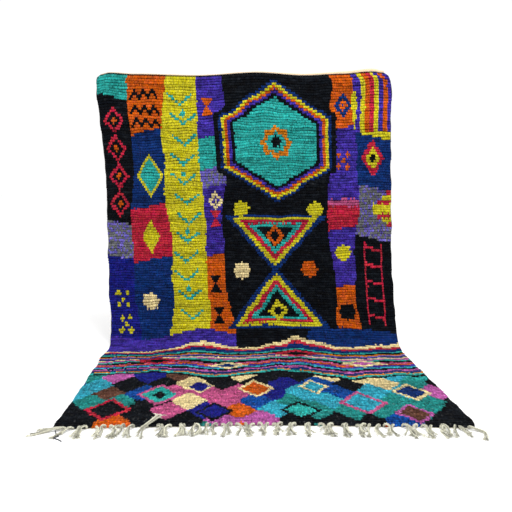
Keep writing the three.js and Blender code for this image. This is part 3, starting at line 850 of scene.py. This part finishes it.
long = calc("MULTIPLY", given["Length"], uneven(1))
broad = calc("MULTIPLY", given["Breadth"], uneven(2))
tall = calc("MULTIPLY", calc("MULTIPLY", given["Breadth"], FLATTENED), uneven(3))
size = add("ShaderNodeCombineXYZ", {0: long, 1: broad, 2: tall}).outputs[0]
roll, nod = calc("MULTIPLY", given["Stray"], ROLL), calc("MULTIPLY", given["Stray"], NOD)
one_way = add("ShaderNodeCombineXYZ", {0: roll, 1: nod, 2: given["Stray"]}).outputs[0]
other_way = add("ShaderNodeVectorMath", {0: one_way, "Scale": -1.0}, operation="SCALE").outputs[0]
stray = add("FunctionNodeRandomValue", {0: other_way, 1: one_way, "Seed": given["Seed"]},
            data_type="FLOAT_VECTOR").outputs[0]
lie = add("GeometryNodeInputNamedAttribute", {"Name": "lie"}, data_type="FLOAT_VECTOR").outputs[0]
turned = add("FunctionNodeRotateRotation", {
    0: add("FunctionNodeEulerToRotation", {0: lie}).outputs[0],
    1: add("FunctionNodeEulerToRotation", {0: stray}).outputs[0]}, rotation_space="LOCAL").outputs[0]
one_lock = add("GeometryNodeObjectInfo", {"Object": given["Lock"]}).outputs["Geometry"]
copies = add("GeometryNodeInstanceOnPoints", {
    "Points": given["Ends"], "Instance": one_lock, "Rotation": turned, "Scale": size}).outputs[0]
real = add("GeometryNodeRealizeInstances", {0: copies}).outputs[0]
woolly = add("GeometryNodeSetMaterial", {0: real, "Material": given["Wool"]}).outputs[0]
pile_nodes.links.new(woolly, out["Pile"])
print(pile_nodes.name + ":", len(pile_nodes.nodes), "nodes")


# %% Run a node tree and keep what it makes
def grown(name, carrier, tree, slot, **inputs):
    """Runs a node tree on a carrier mesh and keeps the result as a plain piece."""
    source = bpy.data.objects.new(name + "_source", carrier)
    bpy.context.scene.collection.objects.link(source)
    modifier = source.modifiers.new("nodes", "NODES")
    modifier.node_group = tree
    for item in tree.interface.items_tree:
        if item.in_out == "INPUT" and item.name in inputs:
            modifier[item.identifier] = inputs[item.name]
    graph = bpy.context.evaluated_depsgraph_get()
    evaluated = source.evaluated_get(graph)
    mesh = bpy.data.meshes.new_from_object(evaluated, preserve_all_data_layers=True, depsgraph=graph)
    mesh.name = name
    bpy.data.objects.remove(source)
    return place_piece(bpy.data.objects.new(name, mesh), slot)


def angles(x, z):
    """The XYZ angles that turn a mesh's X axis to x and its Z axis towards z."""
    x = unit(x)
    y = unit(np.cross(z, x))
    z = np.cross(x, y)
    return np.stack([np.arctan2(y[..., 2], z[..., 2]), -np.arcsin(np.clip(x[..., 2], -1, 1)),
                     np.arctan2(x[..., 1], x[..., 0])], axis=-1)


# %% [markdown]
# On the hanging part the locks fall flat and even. On the floor they are trodden: they lie lower, and their
# tones differ more. So the lean of the locks and the chance in their colours are values for each row, which
# change at the bend. The pile is laid in four lengths, so that no piece grows too large for the export.

# %% How the locks lie, row by row
def row_values(hanging, lying, bend=(112, 134)):
    """A value for each row: one above the bend, one on the floor, and an even change between the two."""
    return np.interp(np.arange(ROWS), bend, (hanging, lying))


PITCH = LENGTH / ROWS
DEGREE = math.radians(1)
LEAN = np.radians(row_values(20, 17))  # between a lock and the cloth
WAVES = row_values(2.6, 1.2, (110, 135))  # how much that changes along a row, in degrees
DROOP = np.zeros(ROWS)
DROOP[-3:] = 4 * DEGREE, 12 * DEGREE, 20 * DEGREE  # the last rows hang over the front edge
SPECKLE = row_values(0.11, 0.25)  # how much the tone of the locks differs
LINT_AND_GLINTS = row_values(0.0003, 0.0016)  # flecks of pale lint and painted glints of shiny fibres, which show on the dark wools only
ROOT_DEEP = 1.5  # how deep a lock's root sits in the ground, in millimetres
# where a lock grows, in shares of the room between locks or rows: how far the two ends of a knot draw
# together and stray sideways, how far down its row each stands, and how far it strays down
TOGETHER, ASTRAY, ROW_START, UNEVEN_START = 0.07, 0.35, 0.12, 0.06
# the last rows are drawn up by as much as so many millimetres, so that the cords are seen to leave the edge
BEATEN, BEATEN_ROWS = 5.0, 12
EDGE_LOCK = 4.2  # how far in from the edge the outermost locks grow, in millimetres
CORNER_ROWS = 24.0  # how far from an end a row has to be for its direction to be taken there, in millimetres
SPLAY, SPLAYED_KNOTS = 0.14, 1.6  # how much, and how far in, the locks at the sides splay over the edge
luck, specks = np.random.default_rng(5), np.random.default_rng(13)
# some stretches of a row stand up more than others, so that some lines between rows are darker
waves = run_on(luck.normal(0, 1, (ROWS, 2 * KNOTS + 60)), 33)[:, :2 * KNOTS]
waves = waves / waves.std()
print(f"rows {PITCH:.1f} mm apart, locks {WIDTH / 2 / KNOTS:.1f} mm apart")

# %% Lay the pile in four lengths of the rug
PIECES = 4
for number in range(PIECES):
    rows_here = np.arange(number * ROWS // PIECES, (number + 1) * ROWS // PIECES)
    r, e = np.meshgrid(rows_here, np.arange(2 * KNOTS), indexing="ij")
    # where the locks grow
    together = TOGETHER * (-1) ** e
    across = (e + 0.5 + together + luck.uniform(-ASTRAY, ASTRAY, r.shape)) / (2 * KNOTS)
    closer = BEATEN * np.clip((r + BEATEN_ROWS - ROWS) / (BEATEN_ROWS - 1), 0, 1)
    down = (r + ROW_START + luck.uniform(-UNEVEN_START, UNEVEN_START, r.shape)) * PITCH - closer
    aside, further = strayed(across, down)
    across = np.clip(across, EDGE_LOCK / WIDTH, 1 - EDGE_LOCK / WIDTH) + aside / WIDTH
    down = down + further
    place, _, face = on_rug(across, down)
    root = place + face * (GROUND_FRONT - ROOT_DEEP)
    # which way they lie: the rounded corners would turn the first and last rows aside, so these lie as
    # their neighbours do
    _, warp, face = on_rug(across, np.clip(down, CORNER_ROWS, LENGTH - CORNER_ROWS))
    lean = (LEAN[r] + DEGREE * WAVES[r] * waves[r, e] - DROOP[r])[..., None]
    along = warp * np.cos(lean) + face * np.sin(lean)
    splay = np.clip(1 - np.minimum(across, 1 - across) * KNOTS / SPLAYED_KNOTS, 0, 1)
    splay = np.sign(across - 0.5) * splay * luck.uniform(0, SPLAY, r.shape)
    along = along + np.cross(face, warp) * splay[..., None]
    carrier = bpy.data.meshes.new(f"ends_{number + 1}")
    carrier.from_pydata(metres(root.reshape(-1, 3)).tolist(), [], [])
    store(carrier, "lie", "FLOAT_VECTOR", "POINT", angles(along, face))
    tone = np.exp(luck.normal(0.2, 1, r.shape) * SPECKLE[r])
    # pale lint with painted glints, added to a few locks
    lint_and_glints = LINT_AND_GLINTS[r] * np.abs(specks.normal(0, 1, r.shape)) ** 3
    wool = dyed[r, e // 2] * tone[..., None] + lint_and_glints[..., None]
    store(carrier, "wool", "FLOAT_COLOR", "POINT", opaque(wool))
    pile = grown(f"pile_length_{number + 1}", carrier, pile_nodes, "pile",
                 Lock=lock, Seed=20 + number, Wool=pile_wool)
    # each lock has its own cell on the map
    cell = np.stack([e / (2 * KNOTS), (r - rows_here[0]) / len(rows_here)], axis=-1).reshape(-1, 1, 2)
    cell_size = np.array([1 / (2 * KNOTS), 1 / len(rows_here)])
    store_uv(pile.data, "OFBake", (cell + LOCK_MAP * cell_size).reshape(-1, 2))
    print(pile.name, len(pile.data.polygons), "faces")
bpy.data.objects.remove(lock)

# %% [markdown]
# ## The heading
#
# Before the first knot the weaver works a finger's breadth of plain cloth, so that the knots cannot slide
# off the warps. On this rug it shows as a thin beige edge at the top, broadest at the right-hand corner,
# ending in a twined cord. It follows the top edge of the drape, so a short profile is swept along it. The
# woven end under the fringe is swept in the same way, from the same kind of wool.

# %% A sweep and a plain-woven wool
def sweep(name, rings, material, slot):
    """A closed body through rings of points, each going round the same way."""
    rings = np.stack(rings, axis=1)
    count, around = rings.shape[:2]
    caps = [list(range(around))[::-1], list(range((count - 1) * around, count * around))]
    faces = [*ring_faces(count, around, turned=True), *caps]
    piece = new_piece(name, metres(rings.reshape(-1, 3)), faces, material, slot)
    # on the map the sides lie in one strip, and the caps above it
    u, v = np.linspace(0.01, 0.99, count), np.linspace(0.01, 0.90, around + 1)
    ring = np.arange(count - 1)[:, None, None] + np.array([0, 0, 1, 1])
    point = np.arange(around)[None, :, None] + np.array([0, 1, 1, 0])
    side_map = np.stack(np.broadcast_arrays(u[ring], v[point]), axis=-1).reshape(-1, 2)
    turn = np.arange(around) / around * 2 * np.pi
    cap_map = 0.03 * np.stack([np.cos(turn), np.sin(turn)], axis=-1)
    cap_maps = [cap_map[::-1] + (0.05, 0.95), cap_map + (0.15, 0.95)]
    store_uv(piece.data, "OFBake", np.vstack([side_map, *cap_maps]))
    return piece


def woven_wool(name, colour):
    """Undyed wool with the ribs of a plain weave."""
    made, _, relief = wool_material(name, 900.0, 0.5, 0.5, colour=colour)
    add, _ = adders(made.node_tree)
    weave_at = add("ShaderNodeTexCoord").outputs["Object"]
    ribs = add("ShaderNodeTexWave", {"Vector": weave_at, "Scale": 60.0, "Distortion": 1.5, "Detail": 1.0,
                                     "Detail Scale": 4.0}, bands_direction="X")
    cords = add("ShaderNodeBump", {"Height": ribs.outputs["Fac"], "Strength": 0.8, "Distance": 0.0015})
    made.node_tree.links.new(cords.outputs[0], relief.inputs["Normal"])
    return made


heading_wool = woven_wool("heading wool", (216, 190, 156))
plain_wool = woven_wool("undyed wool", (206, 200, 184))
print("woven wools:", heading_wool.name, "and", plain_wool.name)

# %% Sweep the heading along the top edge
UP = np.array([0, 0, 1.0])
SWEEP_RINGS = 241
GAP = 0.3  # the heading and the fringe keep this far from the pile cloth, as the CAD pieces do
# round the profile: thickness to the back and to the front, and height as a share
PROFILE = [(-2.6, 0), (-3.0, 0.3), (-2.9, 0.75), (-1.6, 1.0), (1.6, 1.0), (2.9, 0.75), (3.0, 0.3), (2.6, 0)]
TWINE, TWINE_TURN = 0.35, 7  # how far the twined cord at its edge swings, and over what length
along_edge = np.linspace(0, 1, SWEEP_RINGS)
place, _, face = on_rug(along_edge, 0 * along_edge)
tall = eased(HEADING_EDGE, along_edge)[:, None]
twine = TWINE * np.sin(2 * np.pi * along_edge * WIDTH / TWINE_TURN)[:, None]
rings = [place + UP * (GAP + tall * rise + (twine if rise == 1.0 else 0)) + face * thick
         for thick, rise in PROFILE]
heading = sweep("woven_heading", rings, heading_wool, "heading")
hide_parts("header_band")
print("heading:", len(heading.data.polygons), "faces,", f"{tall.min():.0f} to {tall.max():.0f} mm tall")

# %% [markdown]
# ## The fringe
#
# At the lying end the warps come out of the last weft in bundles, which are plied into cords. Each cord
# humps up from under the pile, falls to the floor and strays there, and its end opens into single threads.
# A cord could be a bent cylinder with a bump for its twist, but the twist shows in its outline. So Geometry
# Nodes sweep round strands along each route, and a tilt that grows with the length twists them round each
# other. A cord has two strands, and the threads of a frayed end have one each.

# %% The nodes that ply a cord
cord_nodes, given, out = new_group(
    "Ply cords", "GeometryNodeTree",
    [("Routes", "Geometry"), ("Plies", "Int", 2), ("Strand Radius", "Float", 0.0015),
     ("Offset", "Float", 0.0014), ("Turns per Metre", "Float", 55.0), ("Sides", "Int", 5),
     ("Step", "Float", 0.004), ("Wool", "Material")],
    [("Cords", "Geometry")])
add, calc = adders(cord_nodes)
full_turn = 2 * math.pi
curves = add("GeometryNodeMeshToCurve", {0: given["Routes"]}).outputs[0]
route = add("GeometryNodeResampleCurve", {"Curve": curves, "Length": given["Step"]}, mode="LENGTH").outputs[0]
so_far = add("GeometryNodeSplineParameter").outputs["Length"]
tilt = calc("MULTIPLY", calc("MULTIPLY", so_far, given["Turns per Metre"]), full_turn)
route = add("GeometryNodeSetCurveTilt", {0: route, "Tilt": tilt}).outputs[0]
# a ring for each strand, on a circle round the route
share = calc("DIVIDE", add("GeometryNodeInputIndex").outputs[0], given["Plies"])
turn = calc("MULTIPLY", share, full_turn)
spot = add("ShaderNodeCombineXYZ", {
    0: calc("MULTIPLY", calc("COSINE", turn), given["Offset"]),
    1: calc("MULTIPLY", calc("SINE", turn), given["Offset"])}).outputs[0]
spots = add("GeometryNodePoints", {"Count": given["Plies"], "Position": spot}).outputs[0]
ring = add("GeometryNodeCurvePrimitiveCircle", {
    "Resolution": given["Sides"], "Radius": given["Strand Radius"]}).outputs[0]
strands = add("GeometryNodeInstanceOnPoints", {"Points": spots, "Instance": ring}).outputs[0]
strands = add("GeometryNodeRealizeInstances", {0: strands}).outputs[0]
girth = add("GeometryNodeInputNamedAttribute", {"Name": "girth"}, data_type="FLOAT").outputs[0]
swept = add("GeometryNodeCurveToMesh", {
    "Curve": route, "Profile Curve": strands, "Scale": girth, "Fill Caps": True}).outputs[0]
smooth = add("GeometryNodeSetShadeSmooth", {0: swept}).outputs[0]
real = add("GeometryNodeRealizeInstances", {0: smooth}).outputs[0]
woolly = add("GeometryNodeSetMaterial", {0: real, "Material": given["Wool"]}).outputs[0]
cord_nodes.links.new(woolly, out["Cords"])
print(cord_nodes.name + ":", len(cord_nodes.nodes), "nodes")


def carrier_of(name, routes, girths, colours):
    """One mesh of edges for all routes, with how thick and what colour each point is."""
    starts = np.cumsum([0] + [len(route) for route in routes])
    made = bpy.data.meshes.new(name)
    links = [(s + k, s + k + 1) for s, route in zip(starts, routes) for k in range(len(route) - 1)]
    made.from_pydata(metres(np.vstack(routes)).tolist(), links, [])
    store(made, "girth", "FLOAT", "POINT", np.concatenate(girths))
    store(made, "wool", "FLOAT_COLOR", "POINT", opaque(np.vstack(colours)))
    return made


# %% [markdown]
# The tassels are all made alike and none lies like the next. Four short tables, of different lengths, are
# used in turn, so that tassels near each other differ. Seven of them lie in a way of their own, and have
# their own points.

# %% The routes of the tassels
TASSELS, CORD_RADIUS = 56, 4.5
HUMPS = [(13, 78), (11, 86), (15, 70), (12, 81), (14, 74), (10, 88), (14, 67)]  # top of the hump, reach
SWAYS = [(17, -6), (-14, 8), (20, -10), (7, 6), (-19, 6), (15, 8), (-12, -8), (21, -12), (-20, 8), (-8, -9),
         (-16, 12)]  # how far it swings aside, and how far its end curls from there
SHIFTS = [0, 6, -5, 4, -7]  # along the edge
LIFTS = [0, 0.9, 0.4, 1.3]  # how far it lies off the floor
LOFT = 3.5  # how much higher loose cords hump than the solid comb does
ROUTE_STEPS = 6  # samples between two points
LEVEL, OVER = CORD_RADIUS, 2 * HALF_THICK + CORD_RADIUS + GAP  # heights of a tassel on the floor, on the pile
START = (6, 0, 3.5)  # where most tassels come out of the woven end
THROWN = 11
# the tassels at the corners lie sideways, and one is thrown back over the pile: out, to the right, height
ODD = {
    0: [START, (9, -2, 10), (16, -10, 12), (30, -34, 8), (45, -64, LEVEL), (63, -98, LEVEL)],
    1: [START, (10, -6, 11), (16, -22, 13), (24, -48, 12), (29, -70, 11), (34, -88, 10)],
    2: [START, (10, -4, 10), (16, -14, 12), (36, -30, 8), (56, -42, LEVEL), (82, -54, LEVEL)],
    3: [START, (9, -2, 10), (14, -6, 13), (30, -4, 8), (50, -2, LEVEL), (88, 2, LEVEL)],
    THROWN: [(5, 0, 3.5), (10, 8, 8), (9, 22, 17), (1, 38, OVER + 3), (-20, 50, OVER + 3),
             (-44, 62, OVER + 4)],
    54: [START, (9, -6, 10), (13, -8, 12), (28, 2, 8), (45, 8, LEVEL), (78, 14, LEVEL)],
    55: [START, (9, -2, 10), (14, 2, 13), (24, 22, 8), (40, 43, LEVEL), (68, 37, LEVEL), (102, 20, LEVEL)],
}


def front_end(across):
    """The rug's front edge on the floor, and a small gap out from it, in millimetres."""
    across = np.asarray(across, float)
    edge = middle(across, np.full_like(across, LENGTH))
    return edge * (1, 1, 0) - (0, GAP, 0)


def tassel_route(number):
    """The points that a tassel's middle line follows, in millimetres."""
    root, points = front_end((number + 0.5) / TASSELS), ODD.get(number)
    if not points:
        root = root + (SHIFTS[number % len(SHIFTS)], 0, 0)
        (hump, reach), (sway, curl) = HUMPS[number % len(HUMPS)], SWAYS[number % len(SWAYS)]
        hump = hump + LOFT
        lying = LEVEL + LIFTS[number % len(LIFTS)]
        points = [
            START,
            (9, 0.04 * sway, 0.76 * hump),
            (8 + 0.13 * reach, 0.48 * sway, hump),
            (8 + 0.22 * reach, 0.88 * sway, 0.80 * hump),
            (7 + 0.29 * reach, sway, 0.42 * hump),
            (6 + 0.42 * reach, 1.04 * sway, lying),
            (5 + 0.72 * reach, sway + 0.4 * curl, lying),
            (5 + reach, sway + curl, lying),
        ]
    return root + np.array([(side, -out, height) for out, side, height in points])


middle_lines = [smooth_through(tassel_route(number), ROUTE_STEPS) for number in range(TASSELS)]
lengths = [np.linalg.norm(np.diff(line, axis=0), axis=1).sum() for line in middle_lines]
print(f"{TASSELS} tassels of {min(lengths):.0f} to {max(lengths):.0f} mm, {np.mean(lengths):.0f} on average")

# %% How the cords of a tassel vary
# Each tassel has four cords, bound together at its root and loose towards its end. The first two stay
# together, the others leave them where they reach the floor. For each: how far it leaves, fewer than how
# many points its end falls short, and how light it is. The first is made much darker and the last two a
# little, as painted shade inside and under the bundle, on top of a tone that differs at random.
CORDS = [((0, 3), 4, (0.38, 0.55)), ((0, 3), 4, (0.88, 1.08)), ((5, 14), 7, (0.62, 0.92)),
         ((12, 30), 12, (0.70, 1.05))]
# at shares of a tassel's length, how far its cords lie from its middle line
OPENING = [0, 0.3, 0.6, 1], [1.6, 2.8, 3.8, 5.0]
TURNING = 1.5  # how far the bundle turns on its way, in radians
LEAVING, BENT = 0.35, 1.4  # where along the tassel the cords leave it, and how sharply
CALM = 0.3  # how far the cords of an odd tassel leave it, for what the others do
FLATTER = 0.7  # how high a tassel is for its breadth
GIRTH = [0, 0.1, 0.8, 1], [0.85, 1, 1.1, 0.8]  # at shares of a cord's length, how thick it is
# the one that is thrown shows itself more: how far its cords lie apart, and how far they leave it
THROWN_OPEN, THROWN_LEAVING = 1.5, 0.8
OFF_FLOOR = 2.7  # how high the middle of a cord of the usual thickness lies, at least
cream = linear((226, 224, 204))
# strong fine mottling: unevenness of the wool, and painted shade between the strands as well
cord_wool, *_ = wool_material("fringe wool", 280.0, 0.85, 0.6, sheen=0.05)
print(f"{TASSELS * len(CORDS)} cords, the shortest up to {max(c[1] for c in CORDS) - 1} points shorter")

# %% Ply the tassels and fray their ends
HAIRS, FAN = 6, 0.4  # threads at the end of each cord, and how far they fan out to each side, in radians
HAIR_REACH, HAIR_LIFT = (8, 19), (0.3, 3.0)  # how far a thread reaches, and how far it bends up
HAIR_ROOT, HAIR_APART = 6, 4  # how far inside the cord it starts, and how far aside for each radian
HAIR_CURL = 1.6  # how much farther aside its end points than its start
HAIR_GIRTHS = (1.2, 0.5)  # at its start and at its end
HAIR_OFF_FLOOR = 1.4  # how high the middle of a thread lies, at least
THROWN_HAIRS = (1.1, 1.4, 1.6)  # how much wider apart, longer and thicker they are on the thrown tassel
play = np.random.default_rng(8)
routes, girths, colours = [], [], []
hairs, hair_girths, hair_colours = [], [], []


def fray(cord, tone, thrown):
    """Adds the loose threads at a cord's end, which are longer, thicker and wider apart when it is thrown."""
    wider, longer, thicker = THROWN_HAIRS if thrown else (1, 1, 1)
    tip, ahead = cord[-1], unit(cord[-1] - cord[-3])
    aside = np.array([-ahead[1], ahead[0], 0])
    # a thread starts inside the cord, bends up a little on its way and ends nearer the floor
    for spread in np.linspace(-FAN, FAN, HAIRS) * wider:
        reach, lift = play.uniform(*HAIR_REACH) * longer, play.uniform(*HAIR_LIFT)
        spread = spread + play.uniform(-FAN / 2, FAN / 2)
        curl = HAIR_CURL * spread
        start = tip - ahead * HAIR_ROOT + aside * spread * HAIR_APART + (0, 0, play.uniform(-1.5, 1.5))
        bend = start + (ahead * math.cos(spread) + aside * math.sin(spread)) * reach * 0.5 + (0, 0, lift)
        end = start + (ahead * math.cos(curl) + aside * math.sin(curl)) * reach
        end[2] = max(1.0, tip[2] - play.uniform(0, 3.0))
        hair = smooth_through(np.array([start, bend, end]), 3)
        hair[:, 2] = np.maximum(hair[:, 2], HAIR_OFF_FLOOR)
        hairs.append(hair)
        hair_girths.append(np.linspace(*HAIR_GIRTHS, len(hair)) * thicker)
        hair_colours.append(np.tile(tone * play.uniform(0.7, 1.08), (len(hair), 1)))


for number, middle_line in enumerate(middle_lines):
    thrown = number == THROWN
    so_far = np.linspace(0, 1, len(middle_line))
    ahead = unit(np.gradient(middle_line, axis=0))
    aside = unit(np.cross(ahead, UP) + (1e-6, 0, 0))  # a touch more, should it point straight up
    above = np.cross(aside, ahead)
    tassel_tone = cream * play.uniform(0.86, 1.04)
    first_turn = play.uniform(0, 2 * np.pi)
    for strand, (strays, short, tones_and_shade) in enumerate(CORDS):
        # each cord keeps its own place in the bundle, which opens and turns a little towards the end
        turn = first_turn + 2 * np.pi * strand / len(CORDS) + TURNING * so_far
        apart = np.interp(so_far, *OPENING) * play.uniform(0.8, 1.3)
        if thrown:
            apart = THROWN_OPEN * apart
        route = middle_line + aside * (apart * np.cos(turn))[:, None]
        route = route + above * (FLATTER * apart * np.sin(turn))[:, None]
        leaving = play.choice([-1, 1]) * play.uniform(*strays)
        leaving = leaving * (THROWN_LEAVING if thrown else CALM if number in ODD else 1)
        left = np.clip((so_far - LEAVING) / (1 - LEAVING), 0, 1) ** BENT
        route = route + aside * (leaving * left)[:, None]
        route = route[: len(route) - play.integers(0, short)]
        # the cord's tone: random, with the painted shade of its place in the bundle
        tone = tassel_tone * play.uniform(*tones_and_shade)
        if thrown:
            tone = (tone + 2 * cream) / 3  # painted light: drawn two thirds of the way to plain cream, as it lies up on the pile in the light
        along = np.linspace(0, 1, len(route))
        girth = play.uniform(0.85, 1.15) * np.interp(along, *GIRTH)
        route[:, 2] = np.maximum(route[:, 2], OFF_FLOOR * girth)
        routes.append(route)
        girths.append(girth)
        colours.append(np.tile(tone, (len(route), 1)))
        fray(route, tone, thrown)
tassel_routes = carrier_of("tassel_routes", routes, girths, colours)
fringe = grown("plied_tassels", tassel_routes, cord_nodes, "fringe", Wool=cord_wool)
fray_routes = carrier_of("fray_routes", hairs, hair_girths, hair_colours)
frayed = grown("frayed_ends", fray_routes, cord_nodes, "fringe",
               **{"Plies": 1, "Strand Radius": 0.0011, "Offset": 0.0, "Turns per Metre": 0.0, "Sides": 4,
                  "Step": 0.005, "Wool": cord_wool})
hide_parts("fringe_comb")
print("tassels:", len(fringe.data.polygons), "faces; frayed ends:", len(frayed.data.polygons))

# %% [markdown]
# The cords come out of a narrow plain-woven end that holds the last row of knots. It is the same undyed
# wool as the heading and is swept in the same way. At the left corner two bits of a dark yarn, left from
# the weaving, lie on the floor.

# %% The woven end under the tassels
# round the profile: out from the edge, and height
END_PROFILE = [(0, 0), (0, 2.4), (1, 2.8), (2.8, 2.5), (4.2, 1.7), (4.8, 0.9), (4.6, 0)]
BEAT, BEAT_PITCH, TOP = 0.3, 9, 2.3  # how much the wefts show, how far apart, and above what height
back_edge = front_end(along_edge)
beat = BEAT * np.sin(2 * np.pi * along_edge * WIDTH / BEAT_PITCH)[:, None]
rings = [back_edge + (0, -out, 0) + UP * (height + (beat if height > TOP else 0))
         for out, height in END_PROFILE]
woven_end = sweep("woven_end", rings, plain_wool, "fringe")
print("woven end:", len(woven_end.data.polygons), "faces")

# %% Two bits of yarn at the left corner
# to the right of the corner, out from the edge, and height
BITS = [[(12, 30, 10), (20, 46, 6), (34, 60, 2.2), (20, 72, 2.0), (40, 84, 2.0), (58, 98, 2.0)],
        [(-50, 34, 13), (-38, 28, 14), (-24, 22, 14)]]
yarn_wool, *_ = wool_material("dark yarn", 900.0, 0.4, 0.4, colour=(38, 42, 54))
bits = [smooth_through(front_end(0.0) + np.array(bit) * (1, -1, 1), ROUTE_STEPS) for bit in BITS]
yarn_routes = carrier_of("yarn_routes", bits, [np.ones(len(bit)) for bit in bits],
                         [np.tile(cream, (len(bit), 1)) for bit in bits])
yarn = grown("stray_yarn", yarn_routes, cord_nodes, "pile",
             **{"Strand Radius": 0.0013, "Offset": 0.0012, "Turns per Metre": 60.0, "Step": 0.003,
                "Wool": yarn_wool})
print("yarn:", len(yarn.data.polygons), "faces")

# %% [markdown]
# ## Floor, light and camera
#
# The rug stands before a pale ground in even, soft light, so the scene is a white floor, a bright world and
# two large soft lamps. The one high on the right is a little stronger, so that the rows of pile cast short
# shadows and the folds can be read.

# %% Floor and light
FLOOR_REACH = 30  # metres to each side
floor_mesh = bpy.data.meshes.new("floor")
floor_corners = [(x * FLOOR_REACH, y * FLOOR_REACH, 0) for x, y in ((-1, -1), (1, -1), (1, 1), (-1, 1))]
floor_mesh.from_pydata(floor_corners, [], [(0, 1, 2, 3)])
floor = bpy.data.objects.new("floor", floor_mesh)
bpy.context.scene.collection.objects.link(floor)
floor_paint = bpy.data.materials.new("pale floor")
floor_paint.use_nodes = True
floor_paint.node_tree.nodes["Principled BSDF"].inputs["Base Color"].default_value = (0.97, 0.97, 0.97, 1)
floor_paint.node_tree.nodes["Principled BSDF"].inputs["Roughness"].default_value = 0.9
floor_mesh.materials.append(floor_paint)
floor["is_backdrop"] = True

world = bpy.data.worlds.new("bright world")
world.use_nodes = True
world.node_tree.nodes["Background"].inputs["Color"].default_value = (1, 1, 1, 1)
world.node_tree.nodes["Background"].inputs["Strength"].default_value = 1.04
bpy.context.scene.world = world


def soft_lamp(name, place, aim, size, watts):
    """A round lamp of a size, in metres, that faces its aim."""
    data = bpy.data.lights.new(name, "AREA")
    data.shape, data.size, data.energy = "DISK", size, watts
    lamp = bpy.data.objects.new(name, data)
    lamp.location = place
    lamp.rotation_mode = "QUATERNION"
    lamp.rotation_quaternion = (Vector(aim) - Vector(place)).to_track_quat("-Z", "Y")
    bpy.context.scene.collection.objects.link(lamp)
    print(name, "lamp:", watts, "W")


soft_lamp("key", (0.7, -0.8, 3.5), (0, 0.35, 0.8), 1.6, 80)
soft_lamp("fill", (-2.4, -2.8, 2.4), (0, 0.3, 0.9), 2.5, 22)
bpy.context.scene.view_settings.view_transform = "Standard"

# %% Camera
LOOKS_DOWN = 8.115  # degrees
camera_data = bpy.data.cameras.new("camera")
camera_data.lens, camera_data.sensor_width = 37.97, 36.0
camera_data.clip_end = 100
camera = bpy.data.objects.new("camera", camera_data)
camera.location = (0.0178, -2.4371, 0.9236)
camera.rotation_euler = (math.radians(90 - LOOKS_DOWN), 0, 0)
bpy.context.scene.collection.objects.link(camera)
bpy.context.scene.camera = camera
print("camera at", tuple(camera.location))

# %% Measure and finish
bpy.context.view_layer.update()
meshes = [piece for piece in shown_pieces() if piece.type == "MESH"]
triangles = {piece.name: sum(len(face.vertices) - 2 for face in piece.data.polygons) for piece in meshes}
print("triangles:", triangles, sum(triangles.values()))
